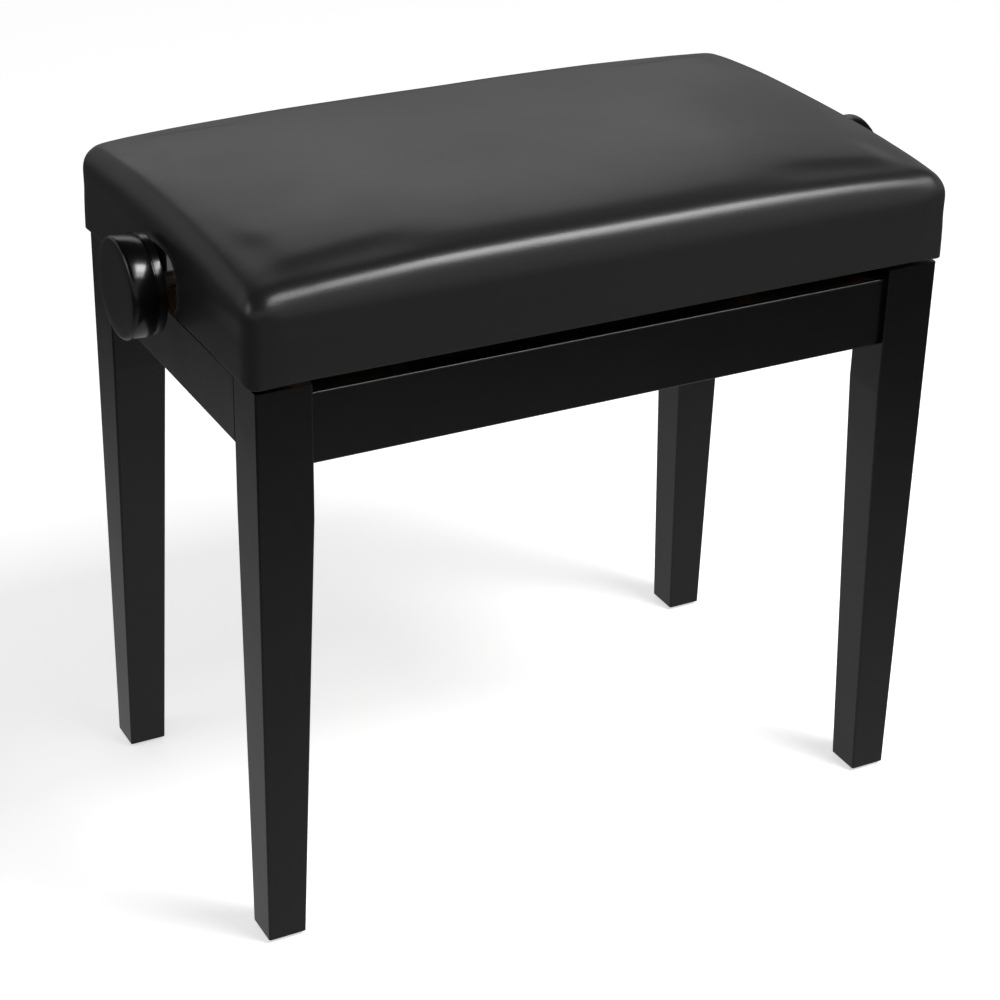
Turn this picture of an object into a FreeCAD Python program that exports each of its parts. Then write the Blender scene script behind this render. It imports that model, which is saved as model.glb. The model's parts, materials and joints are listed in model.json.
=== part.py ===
import FreeCAD, Part
import math
import os
import re

import Sketcher
from FreeCAD import Vector

# Height-adjustable piano bench: a lacquered wooden frame on four tapered legs, a pair of steel
# scissors driven by a threaded spindle with a knob at each end, and a padded seat on top.
# Millimetres, +Z up, +X along the bench, -Y towards the front. The origin is on the floor,
# under the middle of the frame. Everything is drawn with the seat at its lowest.

SIZES = {
    # frame
    "frame_length": (540, "over the legs, along the bench"),
    "frame_width": (316, "over the legs, front to back"),
    "leg_height": (441, "floor to the top of a leg"),
    "leg_along": (41, "leg at its top, along the bench"),
    "leg_across": (38, "leg at its top, front to back"),
    "foot_along": (29, "leg at its foot, along the bench"),
    "foot_across": (29.5, "leg at its foot, front to back"),
    "taper_start": (341, "height where the two inner faces start to taper"),
    "arris": (1.5, "rounding of the lacquered edges"),
    "glide_radius": (9, "plastic glide under a foot"),
    "glide_height": (3, "the glide lifts the wood off the floor by this"),
    "glide_nail_radius": (1.2, "nail of a glide"),
    "glide_nail_length": (14, "nail of a glide"),
    "rail_thickness": (18, "all four rails"),
    "long_rail_setback": (5, "front and back rails, behind the face of the legs"),
    "long_rail_depth": (53, "front and back rails, top to bottom"),
    "long_rail_drop": (8, "leg top to the top of a front or back rail"),
    "long_rail_arris": (2.5, "rounding along the top of a front or back rail"),
    "side_rail_depth": (50, "side rails, top to bottom"),
    "side_rail_drop": (1, "leg top to the top of a side rail"),
    "dowel_radius": (4, "beech dowels between side rails and legs"),
    "dowel_length": (30, "half in the rail, half in the leg"),
    "dowel_spacing": (18, "between the two dowels of a joint"),
    # knock-down joint of the long rails
    "bracket_height": (40, "steel angle in each corner"),
    "bracket_reach": (40, "arm of the angle along the long rail"),
    "bracket_thickness": (2.5, "steel angle"),
    "bolt_radius": (3, "machine bolt into the leg"),
    "bolt_length": (24, "under its head"),
    "bolt_head_radius": (5, "button head"),
    "bolt_head_height": (3.2, "button head"),
    "bolt_spacing": (22, "between the two bolts of a bracket"),
    "insert_radius": (4.5, "threaded brass insert in the leg"),
    "insert_length": (13, "threaded brass insert in the leg"),
    "screw_radius": (2, "wood screw, shank"),
    "screw_length": (14, "wood screw, under its head"),
    "screw_head_radius": (3.8, "wood screw"),
    "screw_head_height": (2, "wood screw"),
    # spindle and knobs
    "spindle_radius": (6, "threaded spindle"),
    "spindle_rise": (21, "side rail top to the spindle's axis"),
    "knob_radius": (36.5, "turned knob"),
    "knob_thickness": (25, "turned knob"),
    "knob_standoff": (11.5, "end of the frame to the back of a knob"),
    "knob_socket": (17, "depth of the knob's bore"),
    "knob_collar": (6.5, "slightly smaller band at the back of the knob"),
    "knob_collar_step": (0.8, "how much smaller"),
    "knob_rounding": (3, "outer edge of the knob"),
    "plate_thickness": (3, "steel plate that carries a spindle end"),
    "plate_width": (64, "bearing plate"),
    "plate_hold": (42, "how far the plate reaches down the side rail"),
    "plate_screw_pitch": (44, "between the plate's two columns of screws"),
    "plate_screw_rows": (22, "between the plate's two rows of screws"),
    "bush_radius": (9, "nylon bush, in the plate"),
    "bush_flange_radius": (12, "nylon bush, flange"),
    "bush_flange": (2, "nylon bush, flange thickness"),
    "collar_radius": (11, "steel stop collar on the spindle"),
    "collar_length": (10, "steel stop collar on the spindle"),
    "grub_radius": (2.5, "grub screw"),
    "grub_length": (4.5, "grub screw"),
    # scissors
    "arm_length": (280, "between the end pivots of an arm"),
    "arm_width": (18, "flat steel arm"),
    "arm_thickness": (4, "flat steel arm"),
    "arm_washer": (1, "washer between the two arms of a pair"),
    "arm_spacer": (3, "spacer between an outer arm and its bar"),
    "pivot_radius": (4, "pivot pins and rods"),
    "pivot_head_radius": (7, "pin heads, spacers and clips"),
    "pivot_head": (2, "pin heads"),
    "clip_thickness": (1, "retaining clips"),
    "pin_stub": (2, "pin beyond the bar it is held in"),
    "lower_pivot_rise": (10, "side rail top to the lower pivots"),
    "upper_pivot_drop": (11, "seat board to the upper pivots"),
    "seat_lift": (90, "travel of the seat"),
    "bar_thickness": (2.5, "steel angle bars above and below the scissors"),
    "bar_height": (20, "upright flange of a bar"),
    "bar_flange": (18, "flat flange of a bar"),
    "bar_leg_gap": (2, "between a lower bar and the legs"),
    "bar_seat_gap": (6, "between a lower bar's upright flange and the seat's end boards"),
    "upper_bar_half": (200, "half the length of an upper bar"),
    "slot_end_gap": (1, "play at each end of a slot"),
    "nut_length": (24, "nut block, along the spindle"),
    "nut_width": (28, "nut block, across"),
    "nut_above": (11, "nut block above the spindle's axis"),
    "nut_below": (21, "nut block below the spindle's axis"),
    # seat
    "seat_overhang": (5, "cover beyond the outside of the legs"),
    "seat_rest_gap": (7.7, "leg top to the underside of the cover"),
    "cover_thickness": (1.5, "leatherette"),
    "cover_hem": (18, "turned under the seat frame"),
    "seat_corner": (14, "radius of the cover's corners, seen from above"),
    "board_thickness": (15, "seat frame boards"),
    "board_height": (39.5, "seat frame boards"),
    "block_size": (24, "glue blocks in the corners of the seat frame"),
    "block_gap": (1.5, "block's foot above the foot of the boards"),
    "plywood": (9, "seat board"),
    "foam": (18, "foam on the seat board"),
    "notch_half_width": (30, "arched notch over the spindle, at both ends of the seat"),
    "notch_rise": (25, "spindle's axis to the top of the notch"),
    "notch_corner": (20, "upper corners of the notch"),
    "notch_bevel": (3, "round the outside of the notch, under the cover"),
    # clearances
    "soft_gap": (0.3, "between the cover or foam and the wood"),
    "hole_gap": (0.1, "round a fixed pin, bolt, screw or dowel"),
    "running_gap": (0.05, "round a turning pin or the spindle"),
    "side_gap": (0.3, "between faces that turn past each other"),
    "cut_margin": (1, "how far a cut starts outside the wood"),
}

# Places worked out from the sizes.
PLACES = {
    "end_x": "frame_length/2",
    "face_y": "frame_width/2",
    "leg_inner_x": "end_x - leg_along",
    "leg_inner_y": "face_y - leg_across",
    "side_rail_top": "leg_height - side_rail_drop",
    "side_rail_low": "side_rail_top - side_rail_depth",
    "side_rail_mid": "side_rail_top - side_rail_depth/2",
    "side_rail_inner": "end_x - rail_thickness",
    "long_rail_top": "leg_height - long_rail_drop",
    "long_rail_low": "long_rail_top - long_rail_depth",
    "long_rail_mid": "long_rail_top - long_rail_depth/2",
    "long_rail_outer": "face_y - long_rail_setback",
    "long_rail_inner": "long_rail_outer - rail_thickness",
    "bracket_face_x": "leg_inner_x - bracket_thickness",
    "bracket_face_y": "long_rail_inner - bracket_thickness",
    "bolt_y": "(long_rail_inner + leg_inner_y)/2",
    "bracket_screw_x": "leg_inner_x - bracket_reach/2 - bolt_head_height",
    "spindle_z": "side_rail_top + spindle_rise",
    "knob_back": "end_x + knob_standoff",
    "spindle_end": "knob_back + knob_socket - side_gap",
    "plate_face": "side_rail_inner - plate_thickness",
    "bush_face": "plate_face - bush_flange",
    "collar_face": "bush_face - side_gap",
    "lower_z": "side_rail_top + lower_pivot_rise",
    "upper_z": "board_top - upper_pivot_drop",
    "rest_height": "upper_z - lower_z",
    "pivot_x": "arm_length/2",
    "slide_rest_x": "sqrt(arm_length^2 - rest_height^2) - pivot_x",
    "slide_raised_x": "sqrt(arm_length^2 - (rest_height + seat_lift)^2) - pivot_x",
    "middle_x": "(slide_rest_x - pivot_x)/2",
    "middle_z": "(lower_z + upper_z)/2",
    "bar_y": "leg_inner_y - bar_leg_gap - bar_flange",
    "outer_arm_far": "bar_y - arm_spacer",
    "outer_arm_near": "outer_arm_far - arm_thickness",
    "inner_arm_far": "outer_arm_near - arm_washer",
    "inner_arm_near": "inner_arm_far - arm_thickness",
    "pin_far": "bar_y + bar_thickness + clip_thickness + pin_stub",
    "cover_x": "end_x + seat_overhang",
    "cover_y": "face_y + seat_overhang",
    "cover_low": "leg_height + seat_rest_gap",
    "inside_x": "cover_x - cover_thickness",
    "inside_y": "cover_y - cover_thickness",
    "seat_x": "inside_x - soft_gap",
    "seat_y": "inside_y - soft_gap",
    "board_low": "cover_low + cover_thickness + soft_gap",
    "board_top": "board_low + board_height",
    "plywood_top": "board_top + plywood",
    "foam_low": "plywood_top + soft_gap",
    "foam_top": "foam_low + foam",
    "cover_inner_top": "foam_top + soft_gap",
    "cover_top": "cover_inner_top + cover_thickness",
    "inner_corner": "seat_corner - cover_thickness - soft_gap",
    "board_inner_x": "seat_x - board_thickness",
    "board_inner_y": "seat_y - board_thickness",
    "board_screw_y": "seat_y - board_thickness/2",
    "board_screw_x": "seat_x - board_thickness/2",
    "board_screw_low": "plywood_top - screw_head_height - 2*screw_length",
    "upright_x": "board_inner_x - bar_seat_gap",
    "bar_screw_y": "bar_y + bar_flange/2 + bar_thickness/2",
}

doc = FreeCAD.newDocument("PianoBench")
sheet = doc.addObject("Spreadsheet::Sheet", "Sizes")
for row, (name, (number, note)) in enumerate(SIZES.items(), start=1):
    sheet.set(f"A{row}", name)
    sheet.set(f"B{row}", str(number))
    sheet.set(f"C{row}", note)
    sheet.setAlias(f"B{row}", name)
doc.recompute()

FRONT, BACK = -1, 1
LEFT, RIGHT = -1, 1
SIDES = (-1, 1)
END_NAMES = {LEFT: "left", RIGHT: "right"}
FACE_NAMES = {FRONT: "front", BACK: "back"}
PLANES = {"Z": "XY_Plane", "Y": "XZ_Plane", "X": "YZ_Plane"}
ORIGIN = -1
POINT_OF_ORIGIN = 1

pieces = []


def spell(text):
    """Write an expression such as 'end_x - arris' out in the sheet's cells."""
    def cell(match):
        word = match.group(0)
        if word in PLACES:
            return f"({spell(PLACES[word])})"
        return f"Sizes.{word}" if word in SIZES else word
    return re.sub(r"[a-z][a-z_]*", cell, str(text))


def value(text):
    """The number that an expression stands for."""
    result = sheet.evalExpression(spell(text))
    return float(getattr(result, "Value", result))


def signed(side, text):
    """The same distance on the negative or the positive side."""
    return f"-({text})" if side < 0 else f"({text})"


def span(side, near, far):
    """Low and high end of a stretch from near to far on one side of the middle."""
    return (f"-({far})", f"-({near})") if side < 0 else (near, far)


# ---- sketches ---------------------------------------------------------------------------
# Each shape adds its lines to a sketch and returns its rules: a constraint, and the expression
# that drives it where it is a dimension.

def dimension(kind, expression, *where):
    return Sketcher.Constraint(kind, *where, value(expression)), expression


def fixed_point(geometry, point, across, up):
    return [dimension("DistanceX", across, ORIGIN, POINT_OF_ORIGIN, geometry, point),
            dimension("DistanceY", up, ORIGIN, POINT_OF_ORIGIN, geometry, point)]


def closed(kind, first, count):
    """Join each line of an outline to the next one."""
    return [(Sketcher.Constraint(kind, first + index, 2, first + (index + 1) % count, 1), None)
            for index in range(count)]


def polygon(*corners):
    """A closed outline of straight edges through (across, up) corners."""
    def draw(sketch):
        spots = [Vector(value(across), value(up), 0) for across, up in corners]
        count = len(spots)
        first = sketch.GeometryCount
        for index in range(count):
            sketch.addGeometry(Part.LineSegment(spots[index], spots[(index + 1) % count]))
        rules = closed("Coincident", first, count)
        for index in range(count):
            rules += fixed_point(first + index, 1, *corners[index])
        return rules
    return draw


def rectangle(low_across, low_up, high_across, high_up):
    return polygon((low_across, low_up), (high_across, low_up),
                   (high_across, high_up), (low_across, high_up))


def rounded(low_across, low_up, high_across, high_up, radius):
    """A rectangle with round corners. Also a slot, when the radius is half its height."""
    def draw(sketch):
        left, low, right, high = value(low_across), value(low_up), value(high_across), value(high_up)
        size = value(radius)
        turns = [(right - size, low + size, -90), (right - size, high - size, 0),
                 (left + size, high - size, 90), (left + size, low + size, 180)]
        arcs = []
        for across, up, start in turns:
            whole = Part.Circle(Vector(across, up, 0), Vector(0, 0, 1), size)
            arcs.append(Part.ArcOfCircle(whole, math.radians(start), math.radians(start + 90)))
        first = sketch.GeometryCount
        for index in range(4):
            sketch.addGeometry(arcs[index])
            sketch.addGeometry(Part.LineSegment(arcs[index].EndPoint, arcs[(index + 1) % 4].StartPoint))
        rules = closed("Tangent", first, 8)
        centres = [(f"{high_across} - ({radius})", f"{low_up} + ({radius})"),
                   (f"{high_across} - ({radius})", f"{high_up} - ({radius})"),
                   (f"{low_across} + ({radius})", f"{high_up} - ({radius})"),
                   (f"{low_across} + ({radius})", f"{low_up} + ({radius})")]
        for index, (across, up) in enumerate(centres):
            rules += fixed_point(first + 2 * index, 3, across, up)
            rules.append(dimension("Radius", radius, first + 2 * index))
        return rules
    return draw


def slot(start, end, up, radius):
    """A level slot with round ends, its end centres at start and end."""
    def draw(sketch):
        low, high, level, size = value(start), value(end), value(up), value(radius)
        normal = Vector(0, 0, 1)
        left = Part.Circle(Vector(low, level, 0), normal, size)
        right = Part.Circle(Vector(high, level, 0), normal, size)
        half = math.pi / 2
        first = sketch.GeometryCount
        sketch.addGeometry(Part.LineSegment(Vector(low, level - size, 0), Vector(high, level - size, 0)))
        sketch.addGeometry(Part.ArcOfCircle(right, -half, half))
        sketch.addGeometry(Part.LineSegment(Vector(high, level + size, 0), Vector(low, level + size, 0)))
        sketch.addGeometry(Part.ArcOfCircle(left, half, 3 * half))
        rules = closed("Tangent", first, 4)
        rules += fixed_point(first + 1, 3, end, up)
        rules += fixed_point(first + 3, 3, start, up)
        rules.append(dimension("Radius", radius, first + 1))
        return rules
    return draw


def circle(across, up, radius):
    def draw(sketch):
        centre = Vector(value(across), value(up), 0)
        index = sketch.addGeometry(Part.Circle(centre, Vector(0, 0, 1), value(radius)))
        return fixed_point(index, 3, across, up) + [dimension("Radius", radius, index)]
    return draw


def sketch_on(body, axis, level, drawings):
    """A sketch across one axis of a body, at a level along it."""
    plane = next(item for item in body.Origin.OriginFeatures if item.Role == PLANES[axis])
    sketch = body.newObject("Sketcher::SketchObject", f"{body.Name}_sketch")
    sketch.AttachmentSupport = (plane, [""])
    sketch.MapMode = "FlatFace"
    # the XZ plane looks towards -Y, the other two along their own axis
    towards = f"-({level})" if axis == "Y" else level
    sketch.setExpression("AttachmentOffset.Base.z", spell(towards))
    rules = [rule for draw in drawings for rule in draw(sketch)]
    sketch.addConstraint([constraint for constraint, expression in rules])
    for index, (constraint, expression) in enumerate(rules):
        if expression is not None:
            sketch.setExpression(f"Constraints[{index}]", spell(expression))
    return sketch


# ---- pieces -----------------------------------------------------------------------------

def new_piece(label):
    body = doc.addObject("PartDesign::Body", label)
    body.Label = label
    pieces.append(body)
    return body


def pad(body, axis, low, high, *drawings):
    """Add material from low to high along an axis."""
    start = high if axis == "Y" else low
    feature = body.newObject("PartDesign::Pad", f"{body.Name}_pad")
    feature.Profile = sketch_on(body, axis, start, drawings)
    feature.Length = value(f"({high}) - ({low})")
    feature.setExpression("Length", spell(f"({high}) - ({low})"))
    body.Tip = feature
    doc.recompute()
    return feature


def pocket(body, axis, low, high, *drawings):
    """Remove material from low to high along an axis, and make sure that some went."""
    before = body.Shape.Volume
    start = high if axis == "Y" else low
    feature = body.newObject("PartDesign::Pocket", f"{body.Name}_pocket")
    feature.Profile = sketch_on(body, axis, start, drawings)
    feature.Length = value(f"({high}) - ({low})")
    feature.setExpression("Length", spell(f"({high}) - ({low})"))
    feature.Reversed = True
    body.Tip = feature
    doc.recompute()
    if not body.Shape.Volume < before:
        raise ValueError(f"a pocket in {body.Label} cuts nothing")
    return feature


def turn(body, profile):
    """Turn a profile of (along X, radius) corners round the X axis."""
    feature = body.newObject("PartDesign::Revolution", f"{body.Name}_turned")
    sketch = sketch_on(body, "Y", "0", [polygon(*profile)])
    feature.Profile = sketch
    feature.ReferenceAxis = (sketch, ["H_Axis"])
    feature.Angle = 360
    body.Tip = feature
    doc.recompute()
    return feature


def round_edges(body, radius, wanted, kind="PartDesign::Fillet"):
    """Round, or chamfer, the edges of the body's last feature that wanted() picks."""
    base = body.Tip
    names = [f"Edge{number}" for number, edge in enumerate(base.Shape.Edges, start=1) if wanted(edge)]
    feature = body.newObject(kind, f"{body.Name}_rounding")
    feature.Base = (base, names)
    size = "Radius" if kind == "PartDesign::Fillet" else "Size"
    setattr(feature, size, value(radius))
    feature.setExpression(size, spell(radius))
    body.Tip = feature
    doc.recompute()
    return feature


def box(body, x_span, y_span, z_span):
    return pad(body, "Z", *z_span, rectangle(x_span[0], y_span[0], x_span[1], y_span[1]))


def is_straight(edge, axis, least=0.9):
    """True for an edge that runs mostly along an axis."""
    start, end = edge.Vertexes[0].Point, edge.Vertexes[-1].Point
    length = (end - start).Length
    return length > 0 and abs(getattr(end - start, axis)) / length > least


def is_at(edge, **places):
    """True for an edge whose middle has these coordinates."""
    middle = edge.BoundBox.Center
    return all(abs(getattr(middle, axis) - value(text)) < 0.01 for axis, text in places.items())


# ---- frame ------------------------------------------------------------------------------

def leg(end, face):
    """Straight down to the taper, then a loft to the smaller foot in the same outer corner."""
    body = new_piece(f"leg_{FACE_NAMES[face]}_{END_NAMES[end]}")
    top = section(end, face, "leg_along", "leg_across")
    foot = section(end, face, "foot_along", "foot_across")
    pad(body, "Z", "taper_start", "leg_height", top)
    loft = body.newObject("PartDesign::AdditiveLoft", f"{body.Name}_taper")
    loft.Profile = sketch_on(body, "Z", "taper_start", [top])
    loft.Sections = [sketch_on(body, "Z", "glide_height", [foot])]
    loft.Ruled = True
    body.Tip = loft
    doc.recompute()
    insert_far = "leg_inner_x + insert_length"
    bolts = bolt_rows()
    pocket(body, "X", *span(end, "leg_inner_x - cut_margin", insert_far),
           *[circle(signed(face, "bolt_y"), up, "insert_radius + hole_gap") for up in bolts])
    pocket(body, "X", *span(end, insert_far, "leg_inner_x + bolt_length"),
           *[circle(signed(face, "bolt_y"), up, "bolt_radius + hole_gap") for up in bolts])
    pocket(body, "Y", *span(face, "leg_inner_y - cut_margin", "leg_inner_y + dowel_length/2"),
           *[circle(signed(end, "end_x - rail_thickness/2"), up, "dowel_radius + hole_gap")
             for up in dowel_rows()])
    pocket(body, "Z", "glide_height - cut_margin", "glide_nail_length",
           circle(*glide_spot(end, face), "glide_nail_radius + hole_gap"))


def section(end, face, along, across):
    """Outline of a leg, seen from above, measured from the frame's outer corner."""
    low_x, high_x = span(end, f"end_x - {along}", "end_x")
    low_y, high_y = span(face, f"face_y - {across}", "face_y")
    return rounded(low_x, low_y, high_x, high_y, "arris")


def bolt_rows():
    return [f"long_rail_mid {sign} bolt_spacing/2" for sign in "-+"]


def dowel_rows():
    return [f"side_rail_mid {sign} dowel_spacing/2" for sign in "-+"]


def glide_spot(end, face):
    return signed(end, "end_x - foot_along/2"), signed(face, "face_y - foot_across/2")


def foot_glides():
    body = new_piece("foot_glides")
    spots = [glide_spot(end, face) for end in SIDES for face in SIDES]
    pad(body, "Z", "0", "glide_height", *[circle(*spot, "glide_radius") for spot in spots])
    pad(body, "Z", "glide_height", "glide_nail_length", *[circle(*spot, "glide_nail_radius") for spot in spots])


def long_rail(face):
    body = new_piece(f"{FACE_NAMES[face]}_rail")
    box(body, ("-leg_inner_x", "leg_inner_x"), span(face, "long_rail_inner", "long_rail_outer"),
        ("long_rail_low", "long_rail_top"))
    outer = signed(face, "long_rail_outer")
    round_edges(body, "long_rail_arris",
                lambda edge: is_straight(edge, "x") and is_at(edge, y=outer, z="long_rail_top"))
    round_edges(body, "arris",
                lambda edge: is_straight(edge, "x") and is_at(edge, y=outer, z="long_rail_low"))
    pocket(body, "Y", *span(face, "long_rail_inner - cut_margin", "bracket_face_y + screw_length"),
           *[circle(across, up, "screw_radius + hole_gap") for across in bracket_screw_columns()
             for up in bolt_rows()])


def bracket_screw_columns():
    return [signed(end, "bracket_screw_x") for end in SIDES]


def side_rail(end):
    body = new_piece(f"{END_NAMES[end]}_rail")
    box(body, span(end, "side_rail_inner", "end_x"), ("-leg_inner_y", "leg_inner_y"),
        ("side_rail_low", "side_rail_top"))
    outer = signed(end, "end_x")
    round_edges(body, "arris", lambda edge: is_straight(edge, "y") and is_at(edge, x=outer))
    middle = signed(end, "end_x - rail_thickness/2")
    for face in SIDES:
        pocket(body, "Y", *span(face, "leg_inner_y - dowel_length/2", "leg_inner_y + cut_margin"),
               *[circle(middle, up, "dowel_radius + hole_gap") for up in dowel_rows()])
    pocket(body, "X", *span(end, "side_rail_inner - cut_margin", "plate_face + screw_length"),
           *[circle(across, up, "screw_radius + hole_gap") for across, up in plate_screw_spots()])
    pocket(body, "Z", "side_rail_top + bar_thickness - screw_length", "side_rail_top + cut_margin",
           *[circle(middle, signed(face, "bar_screw_y"), "screw_radius + hole_gap") for face in SIDES])


def side_rail_dowels():
    body = new_piece("side_rail_dowels")
    for face in SIDES:
        pad(body, "Y", *span(face, "leg_inner_y - dowel_length/2", "leg_inner_y + dowel_length/2"),
            *[circle(signed(end, "end_x - rail_thickness/2"), up, "dowel_radius")
              for end in SIDES for up in dowel_rows()])


def corner_brackets():
    body = new_piece("corner_brackets")
    height = ("long_rail_mid - bracket_height/2", "long_rail_mid + bracket_height/2")
    for end in SIDES:
        for face in SIDES:
            box(body, span(end, "leg_inner_x - bracket_reach", "leg_inner_x"),
                span(face, "bracket_face_y", "long_rail_inner"), height)
            box(body, span(end, "bracket_face_x", "leg_inner_x"),
                span(face, "leg_inner_y", "bracket_face_y"), height)
    for face in SIDES:
        pocket(body, "Y", *span(face, "bracket_face_y - cut_margin", "long_rail_inner + cut_margin"),
               *[circle(across, up, "screw_radius + hole_gap") for across in bracket_screw_columns()
                 for up in bolt_rows()])
    for end in SIDES:
        pocket(body, "X", *span(end, "bracket_face_x - cut_margin", "leg_inner_x + cut_margin"),
               *[circle(signed(face, "bolt_y"), up, "bolt_radius + hole_gap") for face in SIDES
                 for up in bolt_rows()])


def bracket_screws():
    body = new_piece("bracket_screws")
    spots = [(across, up) for across in bracket_screw_columns() for up in bolt_rows()]
    for face in SIDES:
        screws(body, "Y", face, "bracket_face_y", spots)


def screws(body, axis, side, seat, spots):
    """Screws whose heads sit at seat, their shanks pointing away from the middle."""
    pad(body, axis, *span(side, f"{seat} - screw_head_height", seat),
        *[circle(*spot, "screw_head_radius") for spot in spots])
    pad(body, axis, *span(side, seat, f"{seat} + screw_length"),
        *[circle(*spot, "screw_radius") for spot in spots])


def leg_bolts():
    body = new_piece("leg_bolts")
    spots = [(signed(face, "bolt_y"), up) for face in SIDES for up in bolt_rows()]
    for end in SIDES:
        pad(body, "X", *span(end, "bracket_face_x - bolt_head_height", "bracket_face_x"),
            *[circle(*spot, "bolt_head_radius") for spot in spots])
        pad(body, "X", *span(end, "bracket_face_x", "bracket_face_x + bolt_length"),
            *[circle(*spot, "bolt_radius") for spot in spots])


def leg_inserts():
    body = new_piece("leg_inserts")
    spots = [(signed(face, "bolt_y"), up) for face in SIDES for up in bolt_rows()]
    for end in SIDES:
        pad(body, "X", *span(end, "leg_inner_x", "leg_inner_x + insert_length"),
            *[circle(*spot, "insert_radius") for spot in spots],
            *[circle(*spot, "bolt_radius + hole_gap") for spot in spots])


# ---- mechanism on the frame -------------------------------------------------------------


def lower_bar(face):
    body = new_piece(f"lower_bar_{FACE_NAMES[face]}")
    box(body, ("-(end_x - arris)", "end_x - arris"), span(face, "bar_y", "bar_y + bar_flange"),
        ("side_rail_top", "side_rail_top + bar_thickness"))
    upright = span(face, "bar_y", "bar_y + bar_thickness")
    box(body, ("-upright_x", "upright_x"), upright,
        ("side_rail_top + bar_thickness", "side_rail_top + bar_height"))
    cut = span(face, "bar_y - cut_margin", "bar_y + bar_thickness + cut_margin")
    pocket(body, "Y", *cut, circle("-pivot_x", "lower_z", "pivot_radius + hole_gap"))
    pocket(body, "Y", *cut, slide_slot("lower_z"))
    pocket(body, "Z", "side_rail_top - cut_margin", "side_rail_top + bar_thickness + cut_margin",
           *[circle(signed(end, "end_x - rail_thickness/2"), signed(face, "bar_screw_y"),
                    "screw_radius + hole_gap") for end in SIDES])


def slide_slot(level):
    """The slot in which a sliding rod runs, along a bar."""
    return slot("slide_raised_x - slot_end_gap", "slide_rest_x + slot_end_gap", level,
                "pivot_radius + side_gap")


def lower_bar_screws():
    body = new_piece("lower_bar_screws")
    spots = [(signed(end, "end_x - rail_thickness/2"), signed(face, "bar_screw_y"))
             for end in SIDES for face in SIDES]
    top = "side_rail_top + bar_thickness"
    pad(body, "Z", top, f"{top} + screw_head_height", *[circle(*spot, "screw_head_radius") for spot in spots])
    pad(body, "Z", f"{top} - screw_length", top, *[circle(*spot, "screw_radius") for spot in spots])


def plate_screw_spots():
    return [(f"{sign}plate_screw_pitch/2", f"side_rail_top - plate_hold/2 {row} plate_screw_rows/2")
            for sign in ("-", "") for row in "-+"]


def bearing_plate(end):
    body = new_piece(f"bearing_plate_{END_NAMES[end]}")
    along = span(end, "plate_face", "side_rail_inner")
    half = "plate_width/2"
    neck = "bush_flange_radius + arm_spacer"
    pad(body, "X", *along,
        polygon((f"-{half}", "side_rail_top - plate_hold"), (half, "side_rail_top - plate_hold"),
                (half, "side_rail_top"), (neck, f"spindle_z + {neck}"),
                (f"-({neck})", f"spindle_z + {neck}"), (f"-{half}", "side_rail_top")))
    cut = span(end, "plate_face - cut_margin", "side_rail_inner + cut_margin")
    pocket(body, "X", *cut, circle("0", "spindle_z", "bush_radius + hole_gap"))
    pocket(body, "X", *cut, *[circle(*spot, "screw_radius + hole_gap") for spot in plate_screw_spots()])


def bearing_plate_screws():
    body = new_piece("bearing_plate_screws")
    for end in SIDES:
        screws(body, "X", end, "plate_face", plate_screw_spots())


def spindle_bush(end):
    body = new_piece(f"spindle_bush_{END_NAMES[end]}")
    bore = circle("0", "spindle_z", "spindle_radius + running_gap")
    pad(body, "X", *span(end, "plate_face", "side_rail_inner"), circle("0", "spindle_z", "bush_radius"), bore)
    pad(body, "X", *span(end, "bush_face", "plate_face"),
        circle("0", "spindle_z", "bush_flange_radius"), bore)


def pivot_pins(label, x_place, z_place, near):
    """A headed pin through an arm and a bar at the front, and its twin at the back."""
    body = new_piece(label)
    neck = f"{near} - side_gap"
    for face in SIDES:
        pad(body, "Y", *span(face, f"{neck} - pivot_head", neck), circle(x_place, z_place, "pivot_head_radius"))
        pad(body, "Y", *span(face, neck, "pin_far"), circle(x_place, z_place, "pivot_radius"))


def rings(label, x_place, z_place, near, far, bore="pivot_radius + running_gap"):
    """A washer, spacer or clip on a pin at the front, and its twin at the back."""
    body = new_piece(label)
    for face in SIDES:
        pad(body, "Y", *span(face, near, far), circle(x_place, z_place, "pivot_head_radius"),
            circle(x_place, z_place, bore))


def clips(label, x_place, z_place):
    near = "bar_y + bar_thickness + side_gap"
    rings(label, x_place, z_place, near, f"{near} + clip_thickness")


# ---- spindle ----------------------------------------------------------------------------

def spindle():
    body = new_piece("spindle")
    pad(body, "X", "-spindle_end", "spindle_end", circle("0", "spindle_z", "spindle_radius"))
    round_edges(body, "arris", lambda edge: is_round(edge), "PartDesign::Chamfer")


def is_round(edge):
    return edge.Curve.TypeId == "Part::GeomCircle"


def knob(end):
    body = new_piece(f"knob_{END_NAMES[end]}")
    collar = "knob_radius - knob_collar_step"
    turn(body, [("0", "spindle_radius + hole_gap"), ("0", collar), ("knob_collar", collar),
                ("knob_collar", "knob_radius"), ("knob_thickness", "knob_radius"),
                ("knob_thickness", "0"), ("knob_socket", "0"),
                ("knob_socket", "spindle_radius + hole_gap")])
    outer = value("knob_thickness")
    round_edges(body, "knob_rounding",
                lambda edge: is_round(edge) and edge.Curve.Radius > value(collar)
                and abs(edge.Curve.Center.x - outer) < 0.01)
    pocket(body, "Z", "spindle_radius + cut_margin", "knob_radius + cut_margin",
           circle("knob_collar/2", "0", "grub_radius + hole_gap"))
    body.setExpression("Placement.Base.x", spell(signed(end, "knob_back")))
    body.setExpression("Placement.Base.z", spell("spindle_z"))
    body.setExpression("Placement.Rotation.Angle", "180" if end == LEFT else "0")
    doc.recompute()


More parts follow.
